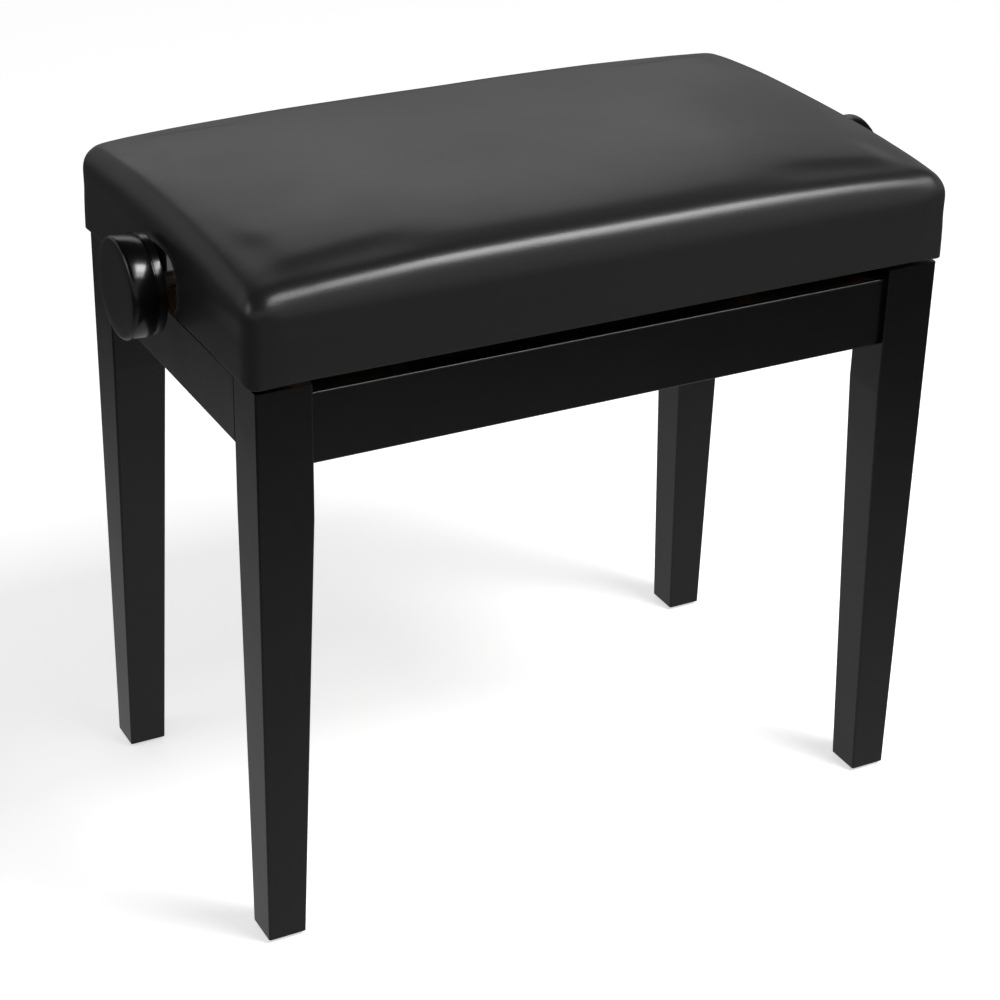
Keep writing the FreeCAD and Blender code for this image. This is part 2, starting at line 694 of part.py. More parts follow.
def spindle_collars():
    body = new_piece("spindle_collars")
    for end in SIDES:
        pad(body, "X", *span(end, "collar_face - collar_length", "collar_face"),
            circle("0", "spindle_z", "collar_radius"),
            circle("0", "spindle_z", "spindle_radius + hole_gap"))
    pocket(body, "Z", "spindle_z + spindle_radius + cut_margin/2", "spindle_z + collar_radius + cut_margin",
           *[circle(signed(end, "collar_face - collar_length/2"), "0", "grub_radius + hole_gap")
             for end in SIDES])


def grub_screws():
    body = new_piece("grub_screws")
    foot = "spindle_z + spindle_radius + cut_margin"
    spots = [(signed(end, place), "0") for end in SIDES
             for place in ("collar_face - collar_length/2", "knob_back + knob_collar/2")]
    pad(body, "Z", foot, f"{foot} + grub_length - cut_margin", *[circle(*spot, "grub_radius") for spot in spots])


# ---- scissors ---------------------------------------------------------------------------

def arm(label, near, far, rises, face):
    """A flat arm with round ends and three holes, turned about the middle pivot."""
    body = new_piece(label)
    half = "arm_length/2"
    hole = "pivot_radius + running_gap"
    pad(body, "Y", *span(face, near, far), slot(f"-{half}", half, "0", "arm_width/2"),
        circle(f"-{half}", "0", hole), circle("0", "0", hole), circle(half, "0", hole))
    body.Placement.Rotation.Axis = Vector(0, -rises, 0)
    body.setExpression("Placement.Rotation.Angle", spell("asin(rest_height/arm_length)"))
    body.setExpression("Placement.Base.x", spell("middle_x"))
    body.setExpression("Placement.Base.z", spell("middle_z"))
    doc.recompute()


def middle_pins():
    body = new_piece("middle_pivot_pins")
    for face in SIDES:
        for near, far, radius in (
                ("inner_arm_near - side_gap - pivot_head", "inner_arm_near - side_gap", "pivot_head_radius"),
                ("inner_arm_near - side_gap", "outer_arm_far", "pivot_radius"),
                ("outer_arm_far", "outer_arm_far + pivot_head - side_gap", "pivot_head_radius")):
            pad(body, "Y", *span(face, near, far), circle("middle_x", "middle_z", radius))


def slide_rod():
    body = new_piece("upper_slide_rod")
    pad(body, "Y", "-pin_far", "pin_far", circle("slide_rest_x", "upper_z", "pivot_radius"))


def spindle_nut():
    body = new_piece("spindle_nut")
    box(body, ("slide_rest_x - nut_length/2", "slide_rest_x + nut_length/2"),
        ("-nut_width/2", "nut_width/2"), ("spindle_z - nut_below", "spindle_z + nut_above"))
    pocket(body, "X", "slide_rest_x - nut_length/2 - cut_margin", "slide_rest_x + nut_length/2 + cut_margin",
           circle("0", "spindle_z", "spindle_radius + running_gap"))


def nut_rods():
    body = new_piece("nut_cross_rods")
    for face in SIDES:
        pad(body, "Y", *span(face, "nut_width/2", "pin_far"), circle("slide_rest_x", "lower_z", "pivot_radius"))


# ---- seat -------------------------------------------------------------------------------

def upper_bar(face):
    body = new_piece(f"upper_bar_{FACE_NAMES[face]}")
    along = ("-upper_bar_half", "upper_bar_half")
    box(body, along, span(face, "bar_y", "bar_y + bar_flange"), ("board_top - bar_thickness", "board_top"))
    box(body, along, span(face, "bar_y", "bar_y + bar_thickness"),
        ("board_top - bar_height", "board_top - bar_thickness"))
    cut = span(face, "bar_y - cut_margin", "bar_y + bar_thickness + cut_margin")
    pocket(body, "Y", *cut, circle("-pivot_x", "upper_z", "pivot_radius + hole_gap"))
    pocket(body, "Y", *cut, slide_slot("upper_z"))
    pocket(body, "Z", "board_top - bar_thickness - cut_margin", "board_top + cut_margin",
           *[circle(across, signed(face, "bar_screw_y"), "screw_radius + hole_gap")
             for across in upper_screw_columns()])


def upper_screw_columns():
    return [f"{sign}upper_bar_half*{share}" for sign in ("-", "") for share in (0.3, 0.9)]


def upper_screw_spots():
    return [(across, signed(face, "bar_screw_y")) for across in upper_screw_columns() for face in SIDES]


def upper_bar_screws():
    body = new_piece("upper_bar_screws")
    seat = "board_top - bar_thickness"
    spots = upper_screw_spots()
    pad(body, "Z", f"{seat} - screw_head_height", seat, *[circle(*spot, "screw_head_radius") for spot in spots])
    pad(body, "Z", seat, "plywood_top - cut_margin", *[circle(*spot, "screw_radius") for spot in spots])


def seat_outline(half_along, half_across, radius):
    """Outline of the seat, seen from above."""
    return rounded(f"-({half_along})", f"-({half_across})", half_along, half_across, radius)


def notch_outline():
    """The arch that clears the spindle. Its lower corners are below the seat."""
    return rounded("-notch_half_width", "cover_low - 2*notch_corner", "notch_half_width",
                   "spindle_z + notch_rise", "notch_corner")


def seat_frame_long(face):
    body = new_piece(f"seat_frame_{FACE_NAMES[face]}")
    box(body, ("-seat_x", "seat_x"), span(face, "board_inner_y", "seat_y"), ("board_low", "board_top"))
    outer = signed(face, "seat_y")
    round_edges(body, "inner_corner", lambda edge: is_straight(edge, "z") and is_at(edge, y=outer))
    pocket(body, "Z", "board_screw_low", "board_top + cut_margin",
           *[circle(across, signed(face, "board_screw_y"), "screw_radius + hole_gap")
             for across in board_screw_columns()])


def board_screw_columns():
    return ["-seat_x*0.75", "0", "seat_x*0.75"]


def board_screw_rows():
    return ["-seat_y*0.55", "seat_y*0.55"]


def seat_frame_end(end):
    body = new_piece(f"seat_frame_{END_NAMES[end]}")
    along = span(end, "board_inner_x", "seat_x")
    box(body, along, ("-board_inner_y", "board_inner_y"), ("board_low", "board_top"))
    pocket(body, "X", *span(end, "board_inner_x - cut_margin", "seat_x + cut_margin"), notch_outline())
    face, reach = value(signed(end, "seat_x")), value("notch_half_width") + 0.01
    round_edges(body, "notch_bevel",
                lambda edge: abs(edge.BoundBox.XMin - face) < 0.01 and abs(edge.BoundBox.XMax - face) < 0.01
                and edge.BoundBox.YMax < reach and edge.BoundBox.YMin > -reach, "PartDesign::Chamfer")
    pocket(body, "Z", "board_screw_low", "board_top + cut_margin",
           *[circle(signed(end, "board_screw_x"), up, "screw_radius + hole_gap")
             for up in board_screw_rows()])


def seat_frame_blocks():
    body = new_piece("seat_frame_blocks")
    for end in SIDES:
        for face in SIDES:
            box(body, span(end, "board_inner_x - block_size", "board_inner_x"),
                span(face, "board_inner_y - block_size", "board_inner_y"),
                ("board_low + block_gap", "board_top"))


def seat_board():
    body = new_piece("seat_board")
    pad(body, "Z", "board_top", "plywood_top", seat_outline("seat_x", "seat_y", "inner_corner"))
    pocket(body, "Z", "board_top - cut_margin", "plywood_top - cut_margin",
           *[circle(*spot, "screw_radius + hole_gap") for spot in upper_screw_spots()])
    pocket(body, "Z", "board_top - cut_margin", "plywood_top + cut_margin",
           *[circle(*spot, "screw_radius + hole_gap") for spot in board_screw_spots()])
    pocket(body, "Z", "plywood_top - screw_head_height", "plywood_top + cut_margin",
           *[circle(*spot, "screw_head_radius + hole_gap") for spot in board_screw_spots()])


def board_screw_spots():
    along = [(across, signed(face, "board_screw_y")) for across in board_screw_columns() for face in SIDES]
    across = [(signed(end, "board_screw_x"), up) for up in board_screw_rows() for end in SIDES]
    return along + across


def seat_board_screws():
    body = new_piece("seat_board_screws")
    spots = board_screw_spots()
    neck = "plywood_top - screw_head_height"
    pad(body, "Z", neck, "plywood_top", *[circle(*spot, "screw_head_radius") for spot in spots])
    pad(body, "Z", "board_screw_low", neck, *[circle(*spot, "screw_radius") for spot in spots])


def seat_foam():
    body = new_piece("seat_foam")
    pad(body, "Z", "foam_low", "foam_top", seat_outline("seat_x", "seat_y", "inner_corner"))


def seat_cover():
    """Leatherette: a sheet over the foam, four skirts, and a hem under the seat frame."""
    body = new_piece("seat_cover")
    pad(body, "Z", "cover_low", "cover_top", seat_outline("cover_x", "cover_y", "seat_corner"))
    window_x, window_y = "cover_x - cover_hem", "cover_y - cover_hem"
    pocket(body, "Z", "cover_low - cut_margin", "cover_low + cover_thickness",
           rectangle(f"-({window_x})", f"-({window_y})", window_x, window_y))
    hollow = seat_outline("inside_x", "inside_y", "seat_corner - cover_thickness")
    pocket(body, "Z", "cover_low + cover_thickness", "cover_inner_top", hollow)
    for end in SIDES:
        cut = span(end, "cover_x - cover_hem - cut_margin", "cover_x + cut_margin")
        pocket(body, "X", *cut, notch_outline())


# ---- the bench --------------------------------------------------------------------------

def build():
    for face in SIDES:
        for end in SIDES:
            leg(end, face)
        long_rail(face)
        lower_bar(face)
        upper_bar(face)
        seat_frame_long(face)
        arm(f"outer_arm_{FACE_NAMES[face]}", "outer_arm_near", "outer_arm_far", 1, face)
        arm(f"inner_arm_{FACE_NAMES[face]}", "inner_arm_near", "inner_arm_far", -1, face)
    for end in SIDES:
        side_rail(end)
        bearing_plate(end)
        spindle_bush(end)
        knob(end)
        seat_frame_end(end)
    foot_glides()
    side_rail_dowels()
    corner_brackets()
    bracket_screws()
    leg_bolts()
    leg_inserts()
    lower_bar_screws()
    bearing_plate_screws()
    pivot_pins("base_pivot_pins", "-pivot_x", "lower_z", "outer_arm_near")
    rings("base_pivot_spacers", "-pivot_x", "lower_z", "outer_arm_far + side_gap/2", "bar_y - side_gap/2")
    clips("base_pivot_clips", "-pivot_x", "lower_z")
    spindle()
    spindle_collars()
    grub_screws()
    middle_pins()
    rings("middle_washers", "middle_x", "middle_z", "inner_arm_far + side_gap/2", "outer_arm_near - side_gap/2")
    slide_rod()
    rings("slide_rod_spacers", "slide_rest_x", "upper_z", "outer_arm_far", "bar_y - side_gap")
    clips("slide_rod_clips", "slide_rest_x", "upper_z")
    spindle_nut()
    nut_rods()
    rings("nut_rod_spacers", "slide_rest_x", "lower_z", "inner_arm_far + side_gap", "bar_y - side_gap")
    clips("nut_rod_clips", "slide_rest_x", "lower_z")
    pivot_pins("seat_pivot_pins", "-pivot_x", "upper_z", "inner_arm_near")
    rings("seat_pivot_spacers", "-pivot_x", "upper_z", "inner_arm_far + side_gap/2", "bar_y")
    clips("seat_pivot_clips", "-pivot_x", "upper_z")
    upper_bar_screws()
    seat_frame_blocks()
    seat_board()
    seat_board_screws()
    seat_foam()
    seat_cover()


def check():
    """Stop if any object failed, or any piece isn't a sound solid."""
    for item in doc.Objects:
        if "Invalid" in item.State or "Error" in item.State:
            raise ValueError(f"{item.Label} failed: {item.State}")
    for piece in pieces:
        shape = piece.Shape
        if shape.isNull() or not shape.isValid() or not shape.Solids:
            raise ValueError(f"{piece.Label} has no sound shape")


def write():
    os.makedirs("parts", exist_ok=True)
    for piece in pieces:
        piece.Shape.exportStep(f"parts/{piece.Label}.step")
        corners = piece.Shape.BoundBox
        print(f"{piece.Label:24} solids {len(piece.Shape.Solids):3}  z {corners.ZMin:7.1f} {corners.ZMax:7.1f}")
    print(len(pieces), "pieces")


build()
doc.recompute()
check()
write()
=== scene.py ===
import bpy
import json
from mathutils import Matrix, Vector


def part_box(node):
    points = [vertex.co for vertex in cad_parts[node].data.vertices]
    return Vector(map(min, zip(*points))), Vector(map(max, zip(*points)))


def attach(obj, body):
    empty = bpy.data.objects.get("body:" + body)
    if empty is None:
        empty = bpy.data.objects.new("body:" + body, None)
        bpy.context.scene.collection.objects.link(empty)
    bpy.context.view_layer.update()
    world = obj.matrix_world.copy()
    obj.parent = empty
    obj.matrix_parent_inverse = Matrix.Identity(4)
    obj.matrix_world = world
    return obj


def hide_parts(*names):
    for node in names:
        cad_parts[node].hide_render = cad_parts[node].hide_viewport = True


bl_info = {
    "name": "Adjustable Piano Bench",
    "version": (1, 0, 0),
    "blender": (4, 5, 0),
    "location": "3D View > Sidebar > Piano Bench",
    "description": "Builds the looks of a height-adjustable piano bench around its CAD frame",
    "category": "Object",
}

import json
import math

import bmesh
import bpy
import numpy as np
from mathutils import Matrix, Vector, noise

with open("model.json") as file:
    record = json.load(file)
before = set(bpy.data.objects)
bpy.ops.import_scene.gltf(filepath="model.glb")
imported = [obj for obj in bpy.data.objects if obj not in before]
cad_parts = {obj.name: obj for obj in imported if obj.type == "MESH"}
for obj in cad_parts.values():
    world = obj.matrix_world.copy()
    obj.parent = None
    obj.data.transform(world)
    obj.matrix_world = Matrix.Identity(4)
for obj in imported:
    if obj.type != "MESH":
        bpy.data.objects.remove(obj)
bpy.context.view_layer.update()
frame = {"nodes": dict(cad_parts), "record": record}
NODES = frame["nodes"]
MM = 0.001


def corners(node):
    """Lowest and highest corner of a CAD node."""
    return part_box(node)


# ---- sizes and colours a user may change ------------------------------------------------

class CushionSizes(bpy.types.PropertyGroup):
    roll: bpy.props.FloatProperty(
        name="Edge roll", description="Radius of the padded edge round the top",
        default=0.015, min=0.006, max=0.03, unit="LENGTH")
    crown: bpy.props.FloatProperty(
        name="Crown", description="Height of the middle of the seat above its edge",
        default=0.0150, min=0.0, max=0.02, unit="LENGTH")
    bulge: bpy.props.FloatProperty(
        name="Bulge", description="How far the sides swell out below the edge roll",
        default=0.0008, min=0.0, max=0.008, unit="LENGTH")
    spacing: bpy.props.FloatProperty(
        name="Mesh spacing", description="Size of the faces before they are subdivided",
        default=0.0058, min=0.003, max=0.02, unit="LENGTH")
    thickness: bpy.props.FloatProperty(
        name="Leatherette", description="Thickness of the cover",
        default=0.0012, min=0.0005, max=0.003, unit="LENGTH")
    drop: bpy.props.FloatProperty(
        name="Drop", description="How far the loose lower edge of the cover hangs below the boards",
        default=0.0018, min=0.0, max=0.004, unit="LENGTH")
    puff: bpy.props.FloatProperty(
        name="Largest puff", description="How far the simulated foam may push the cover out",
        default=0.0015, min=0.0, max=0.02, unit="LENGTH")


class FinishColours(bpy.types.PropertyGroup):
    lacquer: bpy.props.StringProperty(
        name="Lacquer", description="Hex colour of the polyester lacquer", default="#070707")
    leatherette: bpy.props.StringProperty(
        name="Leatherette", description="Hex colour of the seat cover", default="#1F1F1F")


class HardwareSizes(bpy.types.PropertyGroup):
    thread_lead: bpy.props.FloatProperty(
        name="Thread lead", description="Distance the nut moves in one turn",
        default=0.003, min=0.001, max=0.01, unit="LENGTH")
    thread_depth: bpy.props.FloatProperty(
        name="Thread depth", description="Depth of the spindle's thread",
        default=0.0011, min=0.0002, max=0.003, unit="LENGTH")
    staple_pitch: bpy.props.FloatProperty(
        name="Staple pitch", description="Distance between the staples under the seat",
        default=0.026, min=0.01, max=0.1, unit="LENGTH")


class StageSettings(bpy.types.PropertyGroup):
    azimuth: bpy.props.FloatProperty(
        name="Azimuth", description="Where the camera stands round the bench", default=math.radians(-28.238),
        subtype="ANGLE")
    elevation: bpy.props.FloatProperty(
        name="Elevation", description="How far the camera looks down", default=math.radians(27.828),
        subtype="ANGLE")
    roll: bpy.props.FloatProperty(
        name="Roll", description="Tilt of the camera", default=math.radians(1.358), subtype="ANGLE")
    distance: bpy.props.FloatProperty(
        name="Distance", description="Camera to the point it looks at", default=1.9551, unit="LENGTH")
    lens: bpy.props.FloatProperty(
        name="Lens", description="Focal length in millimetres on a 36 mm sensor", default=91.0)


# ---- materials --------------------------------------------------------------------------

def linear(colour):
    """A hex colour in sRGB as the linear values that a shader takes."""
    levels = [int(colour[start:start + 2], 16) / 255 for start in (1, 3, 5)]
    return tuple(x / 12.92 if x <= 0.04045 else ((x + 0.055) / 1.055) ** 2.4 for x in levels) + (1.0,)


def add_node(tree, kind, links=None, **settings):
    """Add a node, set its properties or sockets by name, and link its inputs to other nodes' outputs."""
    node = tree.nodes.new(kind)
    for name, value in settings.items():
        if hasattr(node, name):
            setattr(node, name, value)
        else:
            node.inputs[name.replace("_", " ")].default_value = value
    for name, source in (links or {}).items():
        tree.links.new(source, node.inputs[name])
    return node


def new_material(name):
    material = bpy.data.materials.get(name)
    if material is None:
        material = bpy.data.materials.new(name)
    material.use_nodes = True
    material.node_tree.nodes.clear()
    return material, material.node_tree


def close(tree, shader):
    output = add_node(tree, "ShaderNodeOutputMaterial")
    tree.links.new(shader.outputs[0], output.inputs["Surface"])


def ramp(tree, source, stops):
    node = add_node(tree, "ShaderNodeValToRGB", {"Fac": source})
    elements = node.color_ramp.elements
    while len(elements) < len(stops):
        elements.new(0.5)
    for element, (place, colour) in zip(elements, stops):
        element.position = place
        element.color = colour if isinstance(colour, tuple) else (colour, colour, colour, 1.0)
    return node


def textured(name):
    """An empty material, its nodes, and the place on the piece that its textures follow."""
    material, tree = new_material(name)
    return material, tree, add_node(tree, "ShaderNodeTexCoord").outputs["Object"]


def speckle(tree, place, **settings):
    return add_node(tree, "ShaderNodeTexNoise", {"Vector": place}, **settings)


def relief(tree, height, strength, distance, over=None):
    """Bumps of a height in metres, laid over another relief if one is given."""
    links = {"Height": height}
    if over:
        links["Normal"] = over.outputs["Normal"]
    return add_node(tree, "ShaderNodeBump", links, Strength=strength, Distance=distance)


def black_lacquer():
    """Polyester lacquer, sprayed black over hardboard-smooth wood and polished: a deep black with a
    clear wet gloss, very slightly wavy where it was flatted by hand."""
    material, tree, place = textured("polished_black_polyester_lacquer")
    # waves about 40 mm long left by flatting, and orange peel of about 2.5 mm
    waves = speckle(tree, place, Scale=25.0, Detail=2.0, Roughness=0.4)
    peel = speckle(tree, place, Scale=400.0, Detail=1.0)
    smear = speckle(tree, place, Scale=9.0, Detail=3.0, Distortion=0.6)
    polish = add_node(tree, "ShaderNodeMapRange", {"Value": smear.outputs["Fac"]},
                      From_Min=0.3, From_Max=0.75, To_Min=0.16, To_Max=0.27)
    first = relief(tree, waves.outputs["Fac"], 0.32, 0.0011)
    second = relief(tree, peel.outputs["Fac"], 0.05, 0.0002, over=first)
    colour = linear(bpy.context.scene.bench_colours.lacquer)
    shader = add_node(tree, "ShaderNodeBsdfPrincipled",
                      {"Roughness": polish.outputs["Result"], "Normal": second.outputs["Normal"]},
                      Base_Color=colour, IOR=1.52)
    close(tree, shader)
    return material


def leatherette():
    """Polyurethane-coated cloth, embossed with a fine calf grain: black, a soft satin sheen that
    catches along the padded edges, and shallow creases where it is pulled."""
    material, tree, place = textured("black_polyurethane_leatherette")
    # the real grain is about 0.7 mm; it is drawn at 1.4 mm, so that it shows
    grain = add_node(tree, "ShaderNodeTexVoronoi", {"Vector": place}, Scale=700.0)
    grain.feature = "SMOOTH_F1"
    pebble = speckle(tree, place, Scale=330.0, Detail=3.0, Roughness=0.6)
    pull = speckle(tree, place, Scale=16.0, Detail=2.0, Roughness=0.45)
    wear = speckle(tree, place, Scale=7.0, Detail=4.0)
    sheen = add_node(tree, "ShaderNodeMapRange", {"Value": wear.outputs["Fac"]},
                     From_Min=0.3, From_Max=0.7, To_Min=0.29, To_Max=0.36)
    soft = relief(tree, pull.outputs["Fac"], 0.25, 0.0015)
    cells = relief(tree, grain.outputs["Distance"], 0.16, 0.0002, over=soft)
    cells.invert = True
    rough = relief(tree, pebble.outputs["Fac"], 0.1, 0.0003, over=cells)
    shader = add_node(tree, "ShaderNodeBsdfPrincipled",
                      {"Roughness": sheen.outputs["Result"], "Normal": rough.outputs["Normal"]},
                      Base_Color=linear(bpy.context.scene.bench_colours.leatherette), IOR=1.5)
    close(tree, shader)
    return material


def zinc_steel():
    """Cold-drawn steel, bright zinc plated: grey metal with fine drawn lines and cloudy patches."""
    material, tree, place = textured("zinc_plated_steel")
    clouds = speckle(tree, place, Scale=60.0, Detail=4.0)
    stretched = add_node(tree, "ShaderNodeMapping", {"Vector": place}, Scale=(120.0, 1600.0, 1600.0))
    lines = speckle(tree, stretched.outputs["Vector"], Scale=1.0, Detail=2.0)
    colour = ramp(tree, clouds.outputs["Fac"], [(0.3, linear("#A9ACAE")), (0.7, linear("#C6C8C9"))])
    rough = add_node(tree, "ShaderNodeMapRange", {"Value": lines.outputs["Fac"]}, To_Min=0.24, To_Max=0.46)
    bump = relief(tree, lines.outputs["Fac"], 0.15, 0.0001)
    shader = add_node(tree, "ShaderNodeBsdfPrincipled",
                      {"Base Color": colour.outputs["Color"], "Roughness": rough.outputs["Result"],
                       "Normal": bump.outputs["Normal"]}, Metallic=1.0)
    close(tree, shader)
    return material


def black_powder_coat():
    """Rolled steel angle with a baked epoxy powder coat: dull black with a fine orange peel."""
    material, tree, place = textured("black_epoxy_powder_coat")
    peel = speckle(tree, place, Scale=500.0, Detail=2.0)
    dust = speckle(tree, place, Scale=40.0, Detail=5.0)
    colour = ramp(tree, dust.outputs["Fac"], [(0.35, linear("#171717")), (0.8, linear("#222221"))])
    bump = relief(tree, peel.outputs["Fac"], 0.2, 0.0002)
    shader = add_node(tree, "ShaderNodeBsdfPrincipled",
                      {"Base Color": colour.outputs["Color"], "Normal": bump.outputs["Normal"]},
                      Roughness=0.48, IOR=1.5)
    close(tree, shader)
    return material


def natural_wood(name, pale, dark, grain_mm, along):
    """Planed, unfinished wood: long fibres along the board with pores between the rings."""
    material, tree, place = textured(name)
    across = 1.0 / (grain_mm * MM)
    scale = [across, across, across]
    scale["xyz".index(along)] = across / 18
    laid = add_node(tree, "ShaderNodeMapping", {"Vector": place}, Scale=tuple(scale))
    rings = speckle(tree, laid.outputs["Vector"], Scale=0.35, Detail=5.0, Roughness=0.6, Distortion=0.8)
    fibre = speckle(tree, laid.outputs["Vector"], Scale=4.0, Detail=2.0)
    both = add_node(tree, "ShaderNodeMix", {"A": rings.outputs["Fac"], "B": fibre.outputs["Fac"]}, Factor=0.3)
    colour = ramp(tree, both.outputs["Result"], [(0.34, linear(dark)), (0.66, linear(pale))])
    bump = relief(tree, fibre.outputs["Fac"], 0.25, 0.0002)
    shader = add_node(tree, "ShaderNodeBsdfPrincipled",
                      {"Base Color": colour.outputs["Color"], "Normal": bump.outputs["Normal"]},
                      Roughness=0.62, IOR=1.5)
    close(tree, shader)
    return material


def birch_plywood():
    """Five-ply birch: pale rotary-cut faces, and dark glue lines between the plies at the edge."""
    low, high = corners("seat_board")
    material, tree, place = textured("birch_plywood")
    split = add_node(tree, "ShaderNodeSeparateXYZ", {"Vector": place})
    ply = (high.z - low.z) / 5
    level = add_node(tree, "ShaderNodeMath", {0: split.outputs["Z"]}, operation="SUBTRACT")
    level.inputs[1].default_value = low.z
    layer = add_node(tree, "ShaderNodeMath", {0: level.outputs["Value"]}, operation="DIVIDE")
    layer.inputs[1].default_value = ply
    within = add_node(tree, "ShaderNodeMath", {0: layer.outputs["Value"]}, operation="FRACT")
    laid = add_node(tree, "ShaderNodeMapping", {"Vector": place}, Scale=(16.0, 260.0, 260.0))
    figure = speckle(tree, laid.outputs["Vector"], Scale=0.5, Detail=4.0, Distortion=1.2)
    face = ramp(tree, figure.outputs["Fac"], [(0.3, linear("#B98F60")), (0.7, linear("#D9B98B"))])
    glue = ramp(tree, within.outputs["Value"], [(0.0, 0.45), (0.09, 1.0), (0.93, 1.0), (1.0, 0.5)])
    colour = add_node(tree, "ShaderNodeMix", data_type="RGBA", blend_type="MULTIPLY")
    colour.inputs["Factor"].default_value = 1.0
    tree.links.new(face.outputs["Color"], colour.inputs[6])
    tree.links.new(glue.outputs["Color"], colour.inputs[7])
    shader = add_node(tree, "ShaderNodeBsdfPrincipled", {"Base Color": colour.outputs[2]},
                      Roughness=0.6, IOR=1.5)
    close(tree, shader)
    return material


def moulded_nylon():
    """Injection-moulded nylon: milky, slightly waxy plastic."""
    material, tree, place = textured("moulded_nylon")
    mottle = speckle(tree, place, Scale=150.0, Detail=3.0)
    colour = ramp(tree, mottle.outputs["Fac"], [(0.3, linear("#C9C7BE")), (0.7, linear("#D6D4CB"))])
    shader = add_node(tree, "ShaderNodeBsdfPrincipled", {"Base Color": colour.outputs["Color"]},
                      Roughness=0.42, IOR=1.53)
    close(tree, shader)
    return material


def turned_brass():
    """Free-cutting brass straight from the lathe: yellow metal with fine turned rings."""
    material, tree, place = textured("turned_brass")
    rings = speckle(tree, place, Scale=900.0, Detail=2.0)
    rough = add_node(tree, "ShaderNodeMapRange", {"Value": rings.outputs["Fac"]}, To_Min=0.2, To_Max=0.4)
    shader = add_node(tree, "ShaderNodeBsdfPrincipled", {"Roughness": rough.outputs["Result"]},
                      Base_Color=linear("#C9A45C"), Metallic=1.0)
    close(tree, shader)
    return material


def seat_foam():
    """Cut polyurethane foam: cream coloured and matt, with open cells of about a millimetre."""
    material, tree, place = textured("polyurethane_foam")
    cells = add_node(tree, "ShaderNodeTexVoronoi", {"Vector": place}, Scale=900.0)
    colour = ramp(tree, cells.outputs["Distance"], [(0.0, linear("#A8997A")), (0.6, linear("#DCD0AE"))])
    bump = relief(tree, cells.outputs["Distance"], 0.6, 0.0006)
    shader = add_node(tree, "ShaderNodeBsdfPrincipled",
                      {"Base Color": colour.outputs["Color"], "Normal": bump.outputs["Normal"]},
                      Roughness=0.95)
    close(tree, shader)
    return material


FINISHES = {}


def make_finishes():
    FINISHES.update({
        "black_lacquer": black_lacquer(),
        "leatherette": leatherette(),
        "foam": seat_foam(),
        "plywood": birch_plywood(),
        "pine": natural_wood("planed_pine", "#D9B27C", "#B98552", 3.0, "x"),
        "beech": natural_wood("turned_beech", "#CFA47A", "#B98A60", 1.5, "y"),
        "nylon": moulded_nylon(),
        "brass": turned_brass(),
        "zinc_steel": zinc_steel(),
        "black_steel": black_powder_coat(),
    })


def finish_piece(piece, slot):
    piece.data.materials.clear()
    piece.data.materials.append(FINISHES[slot])


def mix(tree, factor, first, second):
    """Blend two shaders: the second shows where the factor is 1."""
    node = add_node(tree, "ShaderNodeMixShader", {"Fac": factor})
    tree.links.new(first.outputs[0], node.inputs[1])
    tree.links.new(second.outputs[0], node.inputs[2])
    return node


# ---- mesh helpers -----------------------------------------------------------------------

def new_piece(name, points, faces, slot, smooth=True):
    mesh = bpy.data.meshes.new(name)
    mesh.from_pydata([tuple(point) for point in points], [], [tuple(face) for face in faces])
    mesh.validate()
    piece = bpy.data.objects.new(name, mesh)
    bpy.context.scene.collection.objects.link(piece)
    finish_piece(piece, slot)
    for polygon in mesh.polygons:
        polygon.use_smooth = smooth
    return piece


def outward(piece):
    """Merge doubles and make every face of a closed mesh point outwards."""
    shape = bmesh.new()
    shape.from_mesh(piece.data)
    bmesh.ops.remove_doubles(shape, verts=shape.verts, dist=1e-6)
    bmesh.ops.recalc_face_normals(shape, faces=shape.faces)
    shape.to_mesh(piece.data)
    shape.free()


def bake_modifiers(piece):
    """Turn a piece and its modifiers into a plain mesh."""
    graph = bpy.context.evaluated_depsgraph_get()
    graph.update()
    result = bpy.data.meshes.new_from_object(piece.evaluated_get(graph))
    piece.modifiers.clear()
    old = piece.data
    piece.data = result
    result.name = old.name
    bpy.data.meshes.remove(old)


def lathe(name, profile, slot, segments, centre, flip):
    """Turn (along, radius) points round an axis along X through centre."""
    points, faces, rows = [], [], []
    for along, radius in profile:
        if radius < 1e-7:
            rows.append([len(points)])
            points.append((along, 0.0, 0.0))
        else:
            rows.append(list(range(len(points), len(points) + segments)))
            for step in range(segments):
                angle = 2 * math.pi * step / segments
                points.append((along, radius * math.cos(angle), radius * math.sin(angle)))
    for first, second in zip(rows, rows[1:]):
        for step in range(segments):
            following = (step + 1) % segments
            a = first[step % len(first)]
            b = first[following % len(first)]
            c = second[following % len(second)]
            d = second[step % len(second)]
            face = [a, b, c, d]
            faces.append([p for i, p in enumerate(face) if p not in face[:i]])
    side = -1.0 if flip else 1.0
    points = [(centre[0] + side * x, centre[1] + side * y, centre[2] + z) for x, y, z in points]
    piece = new_piece(name, points, faces, slot)
    outward(piece)
    return piece


def sharpen(piece, degrees):
    piece.data.set_sharp_from_angle(angle=math.radians(degrees))


# ---- seat -------------------------------------------------------------------------------

ABOVE_BLOCK = 0.0045  # the padded top rises this far above its plain block
HEM_WIDTH = 0.018
HEM_STEP = 0.00001


